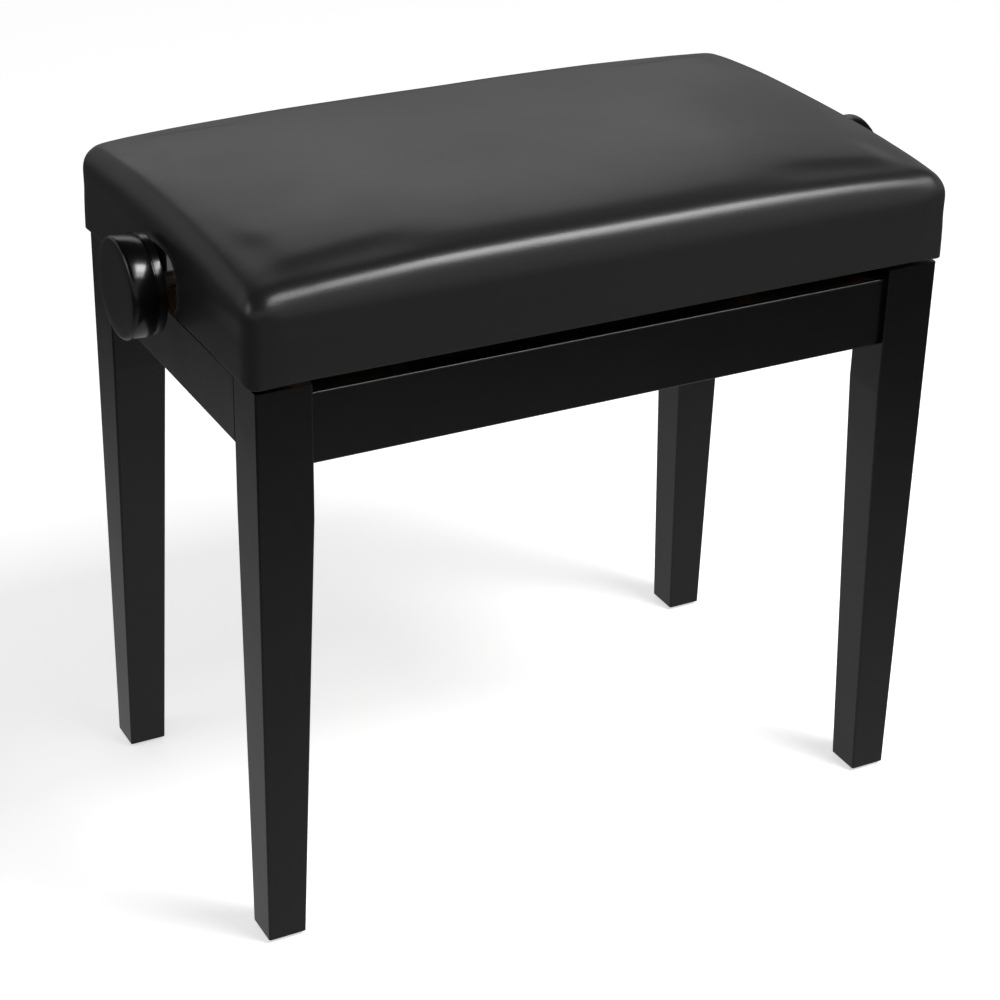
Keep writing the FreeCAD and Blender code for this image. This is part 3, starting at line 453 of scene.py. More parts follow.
class Welder:
    """Collects faces, and gives the ones that meet at a place the same point there."""

    def __init__(self):
        self.points, self.faces, self.index = [], [], {}

    def vertex(self, x, y, z):
        spot = (round(x * 1e6), round(y * 1e6), round(z * 1e6))
        if spot not in self.index:
            self.index[spot] = len(self.points)
            self.points.append((x, y, z))
        return self.index[spot]

    def flat(self, xs, ys, i, j, level):
        """One face of a level grid."""
        self.faces.append((self.vertex(xs[i], ys[j], level), self.vertex(xs[i + 1], ys[j], level),
                           self.vertex(xs[i + 1], ys[j + 1], level), self.vertex(xs[i], ys[j + 1], level)))

    def walls(self, rim, levels):
        """Upright faces all round a rim, from each level down to the next."""
        for upper, lower in zip(levels, levels[1:]):
            for here, there in zip(rim, rim[1:] + rim[:1]):
                self.faces.append((self.vertex(*here, upper), self.vertex(*there, upper),
                                   self.vertex(*there, lower), self.vertex(*here, lower)))


def spaced(half, count):
    """Evenly spaced values from -half to half."""
    return [half * (2 * step / count - 1) for step in range(count + 1)]


def rim_of(xs, ys):
    """The outermost places of a grid, in order round it."""
    rim = [(x, ys[0]) for x in xs] + [(xs[-1], y) for y in ys[1:]]
    return rim + [(x, ys[-1]) for x in xs[-2::-1]] + [(xs[0], y) for y in ys[-2:0:-1]]


def notch_distance(y, z, half_width, top, corner):
    """Distance from the arched notch's outline, seen from the end; negative inside the notch."""
    across = abs(y) - (half_width - corner)
    above = z - (top - corner)
    outside = math.hypot(max(across, 0.0), max(above, 0.0))
    return outside + min(max(across, above), 0.0) - corner


class BENCH_OT_cushion(bpy.types.Operator):
    """Make the padded seat with its leatherette cover"""
    bl_idname = "bench.cushion"
    bl_label = "Padded seat"

    def execute(self, context):
        sizes = context.scene.bench_cushion
        cover = self.make_shell(sizes)
        self.puff_up(cover, sizes)
        self.crease(cover)
        self.open_notches(cover, sizes)
        self.finish(cover, sizes)
        self.make_foam(sizes)
        return {"FINISHED"}

    def make_shell(self, sizes):
        """A grid over the top that runs on down the sides and a little way under the seat."""
        low, high = corners("seat_cover")
        low.z -= sizes.drop
        half_x, half_y = high.x, high.y
        # the top at its corners, which the crown doesn't raise
        top = high.z + ABOVE_BLOCK - sizes.crown
        count_x = 2 * round(half_x / sizes.spacing)
        count_y = 2 * round(half_y / sizes.spacing)
        rows_down = round((top - low.z - sizes.roll) / sizes.spacing)
        skin = Welder()
        xs, ys = spaced(half_x, count_x), spaced(half_y, count_y)
        for i in range(count_x):
            for j in range(count_y):
                skin.flat(xs, ys, i, j, top)
        rim = rim_of(xs, ys)
        steps = [sizes.roll * share for share in (0.0, 0.3, 0.65, 1.0)]
        side = top - low.z - sizes.roll - 0.002
        steps += [sizes.roll + side * row / rows_down for row in range(1, rows_down + 1)]
        levels = [top - step for step in steps] + [low.z + 0.0007, low.z]
        skin.walls(rim, levels)
        self.rim_low = levels[-1]
        # the hem turned in under the seat, a hair lower, so that it can be told from the sides
        shrink = [0.0, 0.003, 0.009, HEM_WIDTH]
        for outer, inner in zip(shrink, shrink[1:]):
            for here, there in zip(rim, rim[1:] + rim[:1]):
                corners_of_face = ((here, outer), (there, outer), (there, inner), (here, inner))
                skin.faces.append(tuple(
                    skin.vertex(x * (half_x - amount) / half_x, y * (half_y - amount) / half_y,
                                levels[-1] - (HEM_STEP if amount else 0.0))
                    for (x, y), amount in corners_of_face))
        self.points, self.faces = skin.points, skin.faces
        self.shape_box(sizes, low, high, top)
        piece = new_piece("seat_cushion", self.points, self.faces, "leatherette")
        outward_shell(piece)
        self.top = top
        return piece

    def shape_box(self, sizes, low, high, top):
        """Round the box, crown its top, swell its sides and let its lower corners droop."""
        half_x, half_y = high.x, high.y
        roll, plan = sizes.roll, 0.014
        shaped = []
        for x, y, z in self.points:
            hem = 0.0
            if abs(z - (self.rim_low - HEM_STEP)) < 1e-7:
                hem = min(half_x - abs(x), half_y - abs(y))
            radius = plan + (roll - plan) * smooth_step((z - (top - 3 * roll)) / (2 * roll))
            inner = Vector((max(min(x, half_x - radius), radius - half_x),
                            max(min(y, half_y - radius), radius - half_y),
                            min(z, top - roll)))
            offset = Vector((x, y, z)) - inner
            flat = Vector((offset.x, offset.y, 0.0))
            if offset.z > 1e-9:
                # the top roll: round in every direction
                stretched = Vector((offset.x, offset.y, offset.z * radius / roll))
                stretched *= radius / stretched.length
                offset = Vector((stretched.x, stretched.y, stretched.z * roll / radius))
            elif flat.length > 1e-9 and (hem == 0.0 or flat.length > radius):
                offset = flat * (radius / flat.length)
            point = inner + offset
            # crown: high over the middle and falling faster towards the ends
            rise = sizes.crown * crown_share(point.x / half_x, point.y / half_y)
            up = smooth_step((point.z - (top - roll)) / roll)
            point.z += rise * up
            # the foam swells the sides just under the roll, and the frame pulls them in below
            height = (point.z - low.z) / (top - low.z)
            swell = sizes.bulge * math.exp(-((height - 0.72) / 0.24) ** 2) - 0.0008 * (1 - height)
            outwards = Vector((point.x / half_x, point.y / half_y, 0))
            out_x, out_y = abs(outwards.x), abs(outwards.y)
            if out_x > out_y:
                point.x += math.copysign(swell * smooth_step((out_x - 0.9) / 0.1), point.x)
            if out_y > 0.9:
                point.y += math.copysign(swell * smooth_step((out_y - 0.9) / 0.1), point.y)
            # folded leatherette gathers at the lower corners
            corner = math.hypot(half_x - abs(point.x), half_y - abs(point.y))
            if point.z < low.z + 0.03:
                droop = 0.0026 * math.exp(-(corner / 0.017) ** 2)
                point.z -= droop * (1 - (point.z - low.z) / 0.03)
            shaped.append(point)
        self.points = shaped

    def puff_up(self, cover, sizes):
        """Let pressure lift the leatherette off the foam, held by the lower part of the sides."""
        low, high = corners("seat_cover")
        rest = [vertex.co.copy() for vertex in cover.data.vertices]
        held = cover.vertex_groups.new(name="held")
        for vertex in cover.data.vertices:
            height = (vertex.co.z - low.z) / (high.z - low.z)
            weight = 1.0 - smooth_step((height - 0.55) / 0.3)
            held.add([vertex.index], max(weight, 0.02), "REPLACE")
        cloth = cover.modifiers.new("Padding", "CLOTH")
        settings = cloth.settings
        settings.quality = 6
        settings.mass = 0.25
        settings.tension_stiffness = 25
        settings.compression_stiffness = 25
        settings.shear_stiffness = 12
        settings.bending_stiffness = 1.2
        settings.use_pressure = True
        settings.uniform_pressure_force = 4.0
        settings.vertex_group_mass = "held"
        settings.pin_stiffness = 1.0
        settings.effector_weights.gravity = 0.0
        cloth.collision_settings.use_self_collision = False
        cloth.point_cache.frame_start = 1
        cloth.point_cache.frame_end = 20
        scene = bpy.context.scene
        scene.frame_start, scene.frame_end = 1, 20
        for number in range(1, 21):
            scene.frame_set(number)
        bake_modifiers(cover)
        scene.frame_set(1)
        cover.vertex_groups.clear()
        moves = np.array([vertex.co - start for vertex, start in zip(cover.data.vertices, rest)])
        ends = np.array([edge.vertices[:] for edge in cover.data.edges])
        counts = np.bincount(ends.ravel(), minlength=len(moves))[:, None]
        # even out the small buckles, which the padding under a tight cover doesn't allow
        for _ in range(10):
            total = np.zeros_like(moves)
            np.add.at(total, ends[:, 0], moves[ends[:, 1]])
            np.add.at(total, ends[:, 1], moves[ends[:, 0]])
            moves = 0.4 * moves + 0.6 * total / counts
        for vertex, start, move in zip(cover.data.vertices, rest, moves):
            moved = Vector(move)
            if moved.length > sizes.puff:
                moved *= sizes.puff / moved.length
            vertex.co = start + moved

    def crease(self, cover):
        """Soft pulls that run from the corners into the top, and a faint slackness along the sides."""
        low, high = corners("seat_cover")
        for vertex in cover.data.vertices:
            point = vertex.co
            near = math.hypot(high.x - abs(point.x), high.y - abs(point.y))
            above = smooth_step((point.z - low.z - 0.02) / 0.03)
            angle = math.atan2(high.y - abs(point.y) + 0.004, high.x - abs(point.x) + 0.004)
            fan = math.sin(angle * 9 + 2.1 * math.copysign(1, point.x) + math.copysign(0.7, point.y))
            pull = 0.00025 * fan * math.exp(-((near - 0.022) / 0.018) ** 2) * above
            slack = noise.noise(Vector((point.x * 14, point.y * 14, point.z * 30))) * 0.0005
            point.z += pull + slack * above * 0.6
            # the folded pleat on the long side of each corner
            if abs(point.y) > high.y - 0.006 and point.z < self.top - 0.012:
                beside = high.x - abs(point.x) - 0.0135
                point.y -= math.copysign(0.0016 * math.exp(-(beside / 0.0038) ** 2), point.y)
            if near > 0.03:
                side = slack * 0.7
                if abs(point.y) > high.y - 0.002:
                    point.y += math.copysign(side, point.y) * (1 - above * 0.5)

    def open_notches(self, cover, sizes):
        """Cut the arched notches for the spindle and turn their edges in round the boards."""
        low, high = corners("seat_cover")
        half_width, top, corner = self.notch()
        shape = bmesh.new()
        shape.from_mesh(cover.data)
        ends = [v for v in shape.verts if abs(v.co.x) > high.x - 0.019
                and notch_distance(v.co.y, v.co.z, half_width, top, corner) < -0.45 * sizes.spacing]
        bmesh.ops.delete(shape, geom=ends, context="VERTS")
        rims = {-1: [], 1: []}
        for edge in shape.edges:
            if not edge.is_boundary:
                continue
            middle = (edge.verts[0].co + edge.verts[1].co) / 2
            if abs(middle.x) > high.x - 0.0185 and abs(middle.y) < half_width + 0.02:
                rims[1 if middle.x > 0 else -1].append(edge)
        for side, edges in rims.items():
            for vertex in {vertex for edge in edges for vertex in edge.verts}:
                self.snap_to_notch(vertex.co, half_width, top, corner)
            for depth in (0.0025, 0.012, 0.0175):
                grown = bmesh.ops.extrude_edge_only(shape, edges=edges)["geom"]
                edges = [item for item in grown if isinstance(item, bmesh.types.BMEdge)]
                for vertex in {v for edge in edges for v in edge.verts}:
                    vertex.co.x = side * (high.x - depth)
        # round the outside of the notch
        for vertex in shape.verts:
            if abs(vertex.co.x) > high.x - 0.004 and vertex.co.z > low.z + 0.0005:
                away = notch_distance(vertex.co.y, vertex.co.z, half_width, top, corner)
                if -0.001 < away < 0.008:
                    sink = 0.0026 * (1 - smooth_step(away / 0.008))
                    vertex.co.x -= math.copysign(sink, vertex.co.x)
        shape.to_mesh(cover.data)
        shape.free()

    def notch(self):
        """Half width, top and corner radius of the notch in the leatherette."""
        spindle_low, spindle_high = corners("spindle")
        axis = (spindle_low.z + spindle_high.z) / 2
        return 0.0286, axis + 0.0236, 0.0188

    def snap_to_notch(self, point, half_width, top, corner):
        for _ in range(3):
            away = notch_distance(point.y, point.z, half_width, top, corner)
            step = 1e-4
            slope_y = notch_distance(point.y + step, point.z, half_width, top, corner) - away
            slope_z = notch_distance(point.y, point.z + step, half_width, top, corner) - away
            length = math.hypot(slope_y, slope_z) or 1.0
            point.y -= away * slope_y / length
            point.z -= away * slope_z / length

    def finish(self, cover, sizes):
        solid = cover.modifiers.new("Leatherette", "SOLIDIFY")
        solid.thickness = sizes.thickness
        solid.offset = -1.0
        smooth = cover.modifiers.new("Smooth", "SUBSURF")
        smooth.levels = smooth.render_levels = 1
        bake_modifiers(cover)
        for polygon in cover.data.polygons:
            polygon.use_smooth = True
        finish_piece(cover, "leatherette")
        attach(cover, "seat")
        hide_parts("seat_cover")

    def make_foam(self, sizes):
        """The foam under the cover, with the same crown and a rounded upper edge."""
        low, high = corners("seat_foam")
        # the rounded edge of the cover leaves less room than the plain block has
        high.x -= 0.0045
        high.y -= 0.0045
        step = 0.012
        count_x, count_y = round(2 * high.x / step), round(2 * high.y / step)
        top = self.top - 0.0055
        block = Welder()
        xs, ys = spaced(high.x, count_x), spaced(high.y, count_y)
        for i in range(count_x):
            for j in range(count_y):
                for level in (top, low.z):
                    block.flat(xs, ys, i, j, level)
        block.walls(rim_of(xs, ys), [top, low.z])
        points = [Vector(point) for point in block.points]
        radius = 0.024
        for point in points:
            edge = min(high.x - abs(point.x), high.y - abs(point.y))
            if point.z > low.z + 1e-6:
                share = crown_share(point.x / high.x, point.y / high.y)
                full = top - low.z + sizes.crown * share
                point.z = low.z + 0.001 + (full - 0.001) * smooth_step(edge / 0.035)
            # round the corners off in plan
            across_x = abs(point.x) - (high.x - radius)
            across_y = abs(point.y) - (high.y - radius)
            if across_x > 0 and across_y > 0:
                shrink = min(1.0, radius / math.hypot(across_x, across_y))
                point.x = math.copysign(high.x - radius + across_x * shrink, point.x)
                point.y = math.copysign(high.y - radius + across_y * shrink, point.y)
        foam = new_piece("seat_padding", points, block.faces, "foam")
        outward(foam)
        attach(foam, "seat")
        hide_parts("seat_foam")


def crown_share(x, y):
    """Share of the crown at a place from -1 to 1 both ways: most in the middle, none at a corner."""
    along = max(1 - abs(x) ** 4.0, 0.0)
    across = max(1 - abs(y) ** 3.0, 0.0)
    return 0.46 * along + 0.54 * across


def smooth_step(share):
    share = max(0.0, min(1.0, share))
    return share * share * (3 - 2 * share)


def outward_shell(piece):
    """Point the faces of the open cover outwards, judged by the ones on its top."""
    shape = bmesh.new()
    shape.from_mesh(piece.data)
    bmesh.ops.remove_doubles(shape, verts=shape.verts, dist=1e-6)
    bmesh.ops.recalc_face_normals(shape, faces=shape.faces)
    highest = max(shape.faces, key=lambda face: face.calc_center_median().z)
    if highest.normal.z < 0:
        bmesh.ops.reverse_faces(shape, faces=shape.faces)
    shape.to_mesh(piece.data)
    shape.free()


class BENCH_OT_board(bpy.types.Operator):
    """Saw the plywood board with the corners rounded off under the cover"""
    bl_idname = "bench.board"
    bl_label = "Seat board"

    def execute(self, context):
        low, high = corners("seat_board")
        radius, ease = 0.024, 0.003
        edge = ((ease, low.z), (0.0, low.z + ease), (0.0, high.z - ease), (ease, high.z))
        rows = [self.outline(high.x - inset, high.y - inset, radius, level) for inset, level in edge]
        count = len(rows[0])
        points = [point for row in rows for point in row]
        faces = []
        for row in range(len(rows) - 1):
            for step in range(count):
                following = (step + 1) % count
                faces.append((row * count + step, row * count + following,
                              (row + 1) * count + following, (row + 1) * count + step))
        faces.append(tuple(reversed(range(count))))
        faces.append(tuple(range(3 * count, 4 * count)))
        board = new_piece("plywood_seat_board", points, faces, "plywood", smooth=False)
        outward(board)
        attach(board, "seat")
        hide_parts("seat_board")
        return {"FINISHED"}

    def outline(self, half_x, half_y, radius, level):
        points = []
        for quarter, (x, y) in enumerate(((1, 1), (-1, 1), (-1, -1), (1, -1))):
            for step in range(9):
                angle = math.pi / 2 * (quarter + step / 8)
                points.append((x * (half_x - radius) + radius * math.cos(angle),
                               y * (half_y - radius) + radius * math.sin(angle), level))
        return points


# ---- knobs and spindle ------------------------------------------------------------------

class BENCH_OT_knobs(bpy.types.Operator):
    """Turn the two lacquered knobs"""
    bl_idname = "bench.knobs"
    bl_label = "Knobs"

    def execute(self, context):
        for side in ("left", "right"):
            low, high = corners(f"knob_{side}")
            radius = (high.z - low.z) / 2
            thick = high.x - low.x
            middle = (low.z + high.z) / 2
            back = high.x if side == "left" else low.x
            profile = self.profile(radius, thick)
            knob = lathe(f"turned_knob_{side}", profile, "black_lacquer", 128,
                         centre=(back, 0.0, middle), flip=side == "left")
            sharpen(knob, 50)
            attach(knob, "spindle")
            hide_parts(f"knob_{side}")
        return {"FINISHED"}

    def profile(self, radius, thick):
        """(along, radius) from the bore, round the back, over the rim and across the face."""
        bore, socket = 0.0061, 0.017
        points = [(socket, 0.0), (socket, bore), (0.0006, bore), (0.0, bore + 0.0006)]
        collar = radius - 0.0008
        points += arc(0.0012, collar - 0.0012, 0.0012, 180, 90)
        points += [(0.0060, collar), (0.0064, collar - 0.0006), (0.0070, collar - 0.0006)]
        points += [(0.0073, radius - 0.0004), (0.0078, radius)]
        rounding = 0.0032
        points += arc(thick - rounding, radius - rounding, rounding, 90, 0)
        # a shallow dished face
        points += [(thick - 0.00005, radius * 0.7), (thick - 0.0002, radius * 0.4),
                   (thick - 0.00025, 0.0)]
        return points


def arc(along, radius, size, start, end, steps=7):
    """Points on a rounding, from one direction to another in degrees."""
    turns = [math.radians(start + (end - start) * step / steps) for step in range(steps + 1)]
    return [(along + size * math.cos(turn), radius + size * math.sin(turn)) for turn in turns]


class BENCH_OT_spindle(bpy.types.Operator):
    """Cut the trapezoidal thread on the spindle between its two collars"""
    bl_idname = "bench.spindle"
    bl_label = "Threaded spindle"

    def execute(self, context):
        sizes = context.scene.bench_hardware
        low, high = corners("spindle")
        collar_low, collar_high = corners("spindle_collars")
        radius = (high.z - low.z) / 2
        middle = (low.z + high.z) / 2
        around, lead, depth = 20, sizes.thread_lead, sizes.thread_depth
        run_out = 0.0125
        start, end = collar_low.x + run_out, collar_high.x - run_out
        plain = [(low.x, 0.0), (low.x, radius - 0.001), (low.x + 0.001, radius),
                 (start - 0.002, radius)]
        points, faces, rows = [], [], []

        def ring(along, size):
            first = len(points)
            for step in range(around):
                angle = 2 * math.pi * step / around
                points.append(Vector((along, size * math.cos(angle), size * math.sin(angle))))
            return list(range(first, first + around))

        rows += [ring(along, max(size, 0.0002)) for along, size in plain]
        per_turn = 6
        count = int((end - start) / lead * per_turn)
        for number in range(count + 1):
            along = start + (end - start) * number / count
            row = len(points)
            for step in range(around):
                angle = 2 * math.pi * step / around
                phase = ((along - start) / lead - step / around) % 1.0
                wave = min(max((abs(phase - 0.5) * 2 - 0.28) / 0.34, 0.0), 1.0)
                ends = smooth_step(min(along - start, end - along) / (lead * 1.2))
                size = radius - depth * (1 - wave) * ends
                points.append(Vector((along, size * math.cos(angle), size * math.sin(angle))))
            rows.append(list(range(row, row + around)))
        mirrored = [(-along, size) for along, size in reversed(plain)]
        rows += [ring(along, max(size, 0.0002)) for along, size in mirrored]
        for first, second in zip(rows, rows[1:]):
            for step in range(around):
                following = (step + 1) % around
                faces.append((first[step], second[step], second[following], first[following]))
        faces.append(tuple(rows[0]))
        faces.append(tuple(reversed(rows[-1])))
        points = [point + Vector((0.0, 0.0, middle)) for point in points]
        spindle = new_piece("threaded_spindle", points, faces, "zinc_steel")
        outward(spindle)
        sharpen(spindle, 35)
        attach(spindle, "spindle")
        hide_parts("spindle")
        return {"FINISHED"}


# ---- screws, bolts and staples ----------------------------------------------------------

def islands(node):
    """Lowest and highest corner of each separate solid of a CAD node."""
    mesh = NODES[node].data
    shape = bmesh.new()
    shape.from_mesh(mesh)
    bmesh.ops.remove_doubles(shape, verts=shape.verts, dist=1e-6)
    shape.verts.ensure_lookup_table()
    seen, found = set(), []
    for seed in shape.verts:
        if seed.index in seen:
            continue
        group, todo = [], [seed]
        seen.add(seed.index)
        while todo:
            vertex = todo.pop()
            group.append(vertex.co.copy())
            for edge in vertex.link_edges:
                other = edge.other_vert(vertex)
                if other.index not in seen:
                    seen.add(other.index)
                    todo.append(other)
        spots = np.array([tuple(point) for point in group])
        found.append((Vector(spots.min(0)), Vector(spots.max(0))))
    shape.free()
    return found


def fastener_shape(name, head_radius, head_height, shank_radius, length, recess):
    """A screw along +Z, its head's seat at the origin: recess 'cross' or 'hex'."""
    segments = 24
    point_radius = shank_radius * 0.55 if recess == "cross" else shank_radius
    profile = [(-length, 0.0), (-length + shank_radius * 1.2, point_radius),
               (-length + shank_radius * 2.2, shank_radius), (0.0, shank_radius), (0.0, head_radius)]
    rim = head_height * 0.35
    profile += [(rim, head_radius)]
    for step in (1, 2, 3):
        share = step / 3
        profile.append((rim + (head_height - rim) * math.sin(share * math.pi / 2),
                        head_radius - (head_radius - head_radius * 0.55) * share))
    sunk = head_height * 0.45
    points, faces, rows = [], [], []

    def add_row(level, radii):
        first = len(points)
        for step in range(segments):
            angle = 2 * math.pi * step / segments
            size = radii(step) if callable(radii) else radii
            points.append((size * math.cos(angle), size * math.sin(angle), level))
        rows.append(list(range(first, first + segments)))

    for level, size in profile:
        add_row(level, max(size, 0.00005))
    slim = head_radius * 0.16

    def cross(step):
        angle = (2 * math.pi * step / segments) % (math.pi / 2)
        nearest = min(angle, math.pi / 2 - angle)
        reach = head_radius * 0.5
        return min(reach / math.cos(nearest), slim / max(math.sin(nearest), 1e-6)) if nearest else reach

    def hexagon(step):
        angle = (2 * math.pi * step / segments) % (math.pi / 3) - math.pi / 6
        return head_radius * 0.4 / math.cos(angle)

    outline = cross if recess == "cross" else hexagon
    add_row(head_height, outline)
    add_row(head_height - sunk, outline)
    add_row(head_height - sunk, 0.00005)
    for first, second in zip(rows, rows[1:]):
        for step in range(segments):
            following = (step + 1) % segments
            faces.append((first[step], first[following], second[following], second[step]))
    faces.append(tuple(reversed(rows[0])))
    faces.append(tuple(rows[-1]))
    mesh = bpy.data.meshes.new(name)
    mesh.from_pydata(points, [], faces)
    holder = bpy.data.objects.new(name, mesh)
    outward(holder)
    mesh.set_sharp_from_angle(angle=math.radians(35))
    return holder


def scatter(name, pattern, spots, slot, body, hidden):
    """Put a copy of a pattern at each (place, direction) with Geometry Nodes, as one plain mesh."""
    mesh = bpy.data.meshes.new(name)
    mesh.from_pydata([tuple(place) for place, _ in spots], [], [])
    facing = mesh.attributes.new("facing", "FLOAT_VECTOR", "POINT")
    for number, (_, direction) in enumerate(spots):
        facing.data[number].vector = direction
    piece = bpy.data.objects.new(name, mesh)
    bpy.context.scene.collection.objects.link(piece)
    tree = bpy.data.node_groups.new(f"{name}_layout", "GeometryNodeTree")
    sockets = tree.interface
    for label, kind in (("Geometry", "Geometry"), ("Pattern", "Object"), ("Size", "Vector"),
                        ("Turn spread", "Float"), ("Seed", "Int"), ("Finish", "Material")):
        sockets.new_socket(label, in_out="INPUT", socket_type=f"NodeSocket{kind}")
    sockets.new_socket("Geometry", in_out="OUTPUT", socket_type="NodeSocketGeometry")
    given = add_node(tree, "NodeGroupInput")
    shape = add_node(tree, "GeometryNodeObjectInfo", {"Object": given.outputs["Pattern"]})
    direction = add_node(tree, "GeometryNodeInputNamedAttribute", data_type="FLOAT_VECTOR")
    direction.inputs["Name"].default_value = "facing"
    aim = add_node(tree, "FunctionNodeAlignEulerToVector", {"Vector": direction.outputs["Attribute"]})
    aim.axis = "Z"
    turn = add_node(tree, "FunctionNodeRandomValue", {"Seed": given.outputs["Seed"],
                                                      "Max": given.outputs["Turn spread"]})
    spin = add_node(tree, "ShaderNodeCombineXYZ", {"Z": turn.outputs[1]})
    rotate = add_node(tree, "FunctionNodeRotateEuler", {"Rotation": aim.outputs["Rotation"],
                                                        "Rotate By": spin.outputs["Vector"]})
    rotate.space = "LOCAL"
    copies = add_node(tree, "GeometryNodeInstanceOnPoints",
                      {"Points": given.outputs["Geometry"], "Instance": shape.outputs["Geometry"],
                       "Rotation": rotate.outputs["Rotation"], "Scale": given.outputs["Size"]})
    real = add_node(tree, "GeometryNodeRealizeInstances", {"Geometry": copies.outputs["Instances"]})
    painted = add_node(tree, "GeometryNodeSetMaterial", {"Geometry": real.outputs["Geometry"],
                                                         "Material": given.outputs["Finish"]})
    result = add_node(tree, "NodeGroupOutput")
    tree.links.new(painted.outputs["Geometry"], result.inputs[0])
    modifier = piece.modifiers.new("Layout", "NODES")
    modifier.node_group = tree
    values = {"Pattern": pattern, "Size": (1.0, 1.0, 1.0), "Turn spread": math.tau, "Seed": 7,
              "Finish": FINISHES[slot]}
    for item in sockets.items_tree:
        if item.item_type == "SOCKET" and item.in_out == "INPUT" and item.name in values:
            modifier[item.identifier] = values[item.name]
    bake_modifiers(piece)
    finish_piece(piece, slot)
    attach(piece, body)
    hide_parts(hidden)


PAN_HEAD = (0.0038, 0.002, 0.002)  # radius and height of the head, radius of the shank


class BENCH_OT_screws(bpy.types.Operator):
    """Put the wood screws and machine bolts in"""
    bl_idname = "bench.screws"
    bl_label = "Screws and bolts"

    def execute(self, context):
        pan = fastener_shape("pan_head_screw", *PAN_HEAD, 0.014, "cross")
        short = fastener_shape("short_pan_head_screw", *PAN_HEAD, 0.0105, "cross")
        bolt = fastener_shape("button_head_bolt", 0.005, 0.0032, 0.003, 0.024, "hex")
        for node, pattern, axis, head in (("bracket_screws", pan, 1, PAN_HEAD[1]),
                                          ("bearing_plate_screws", pan, 0, PAN_HEAD[1]),
                                          ("leg_bolts", bolt, 0, 0.0032)):
            spots = []
            for low, high in islands(node):
                middle = (low + high) / 2
                side = 1.0 if middle[axis] > 0 else -1.0
                middle[axis] = side * (min(abs(low[axis]), abs(high[axis])) + head)
                direction = Vector((0, 0, 0))
                direction[axis] = -side
                spots.append((middle, direction))
            scatter(f"{node}_detail", pattern, spots, "zinc_steel", "base", node)
        for node, pattern, body, up in (("lower_bar_screws", pan, "base", 1.0),
                                        ("upper_bar_screws", short, "seat", -1.0)):
            spots = []
            for low, high in islands(node):
                middle = (low + high) / 2
                middle.z = high.z - PAN_HEAD[1] if up > 0 else low.z + PAN_HEAD[1]
                spots.append((middle, Vector((0, 0, up))))
            scatter(f"{node}_detail", pattern, spots, "zinc_steel", body, node)
        return {"FINISHED"}


class BENCH_OT_staples(bpy.types.Operator):
    """Staple the turned-in hem of the cover under the seat frame"""
    bl_idname = "bench.staples"
    bl_label = "Staples"

    def execute(self, context):
        pitch = context.scene.bench_hardware.staple_pitch
        low, high = corners("seat_cover")
        inset, end, clear = 0.0115, 0.03, 0.045
        run = high.x - end
        along, across = [], []
        for side in (-1, 1):
            count = int(2 * run / pitch)
            along += [Vector((-run + 2 * run * number / count, side * (high.y - inset), low.z))
                      for number in range(count + 1)]
            # the short sides are clear at the notch
            reach = high.y - end - clear
            count = int(reach / pitch)
            across += [Vector((side * (high.x - inset), way * (clear + reach * number / max(count, 1)),
                               low.z)) for way in (-1, 1) for number in range(count + 1)]
        self.place("cover_staples_along", self.staple(True), along)
        self.place("cover_staples_across", self.staple(False), across)
        return {"FINISHED"}

    def place(self, name, staple, spots):
        """Copies of one staple, each driven in a little askew."""
        shape_points, shape_faces = staple
        points, faces = [], []
        for place in spots:
            turn = Matrix.Rotation(0.12 * noise.noise(place * 90), 3, "Z")
            first = len(points)
            points += [place + turn @ point for point in shape_points]
            faces += [tuple(first + corner for corner in face) for face in shape_faces]
        piece = new_piece(name, points, faces, "zinc_steel", smooth=False)
        outward(piece)
        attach(piece, "seat")

    def staple(self, along):
        """The crown of a staple, its two legs just entering the hem."""
        half, wire, sag = 0.005, 0.00055, 0.0004
        path = [(-half, 0.002), (-half, -sag), (-half * 0.9, -0.0007), (half * 0.9, -0.0007),
                (half, -sag), (half, 0.002)]
        points, faces = [], []
        for across, up in path:
            for side, lift in ((-wire, 0.0), (wire, 0.0), (wire, wire), (-wire, wire)):
                points.append(Vector((across, side, up + lift) if along else (side, across, up + lift)))
        for step in range(len(path) - 1):
            for corner in range(4):
                following = (corner + 1) % 4
                faces.append((4 * step + corner, 4 * step + following,
                              4 * step + 4 + following, 4 * step + 4 + corner))
        return points, faces


# ---- CAD pieces that keep their shape ---------------------------------------------------

class BENCH_OT_finishes(bpy.types.Operator):
    """Give every CAD piece the finish of its real material"""
    bl_idname = "bench.finishes"
    bl_label = "Finishes"

    def execute(self, context):
        for entry in frame["record"]["subparts"]:
            node = NODES[entry["node"]]
            node.data.materials.clear()
            node.data.materials.append(FINISHES[entry["material_slot"]])
        return {"FINISHED"}


# ---- stage ------------------------------------------------------------------------------

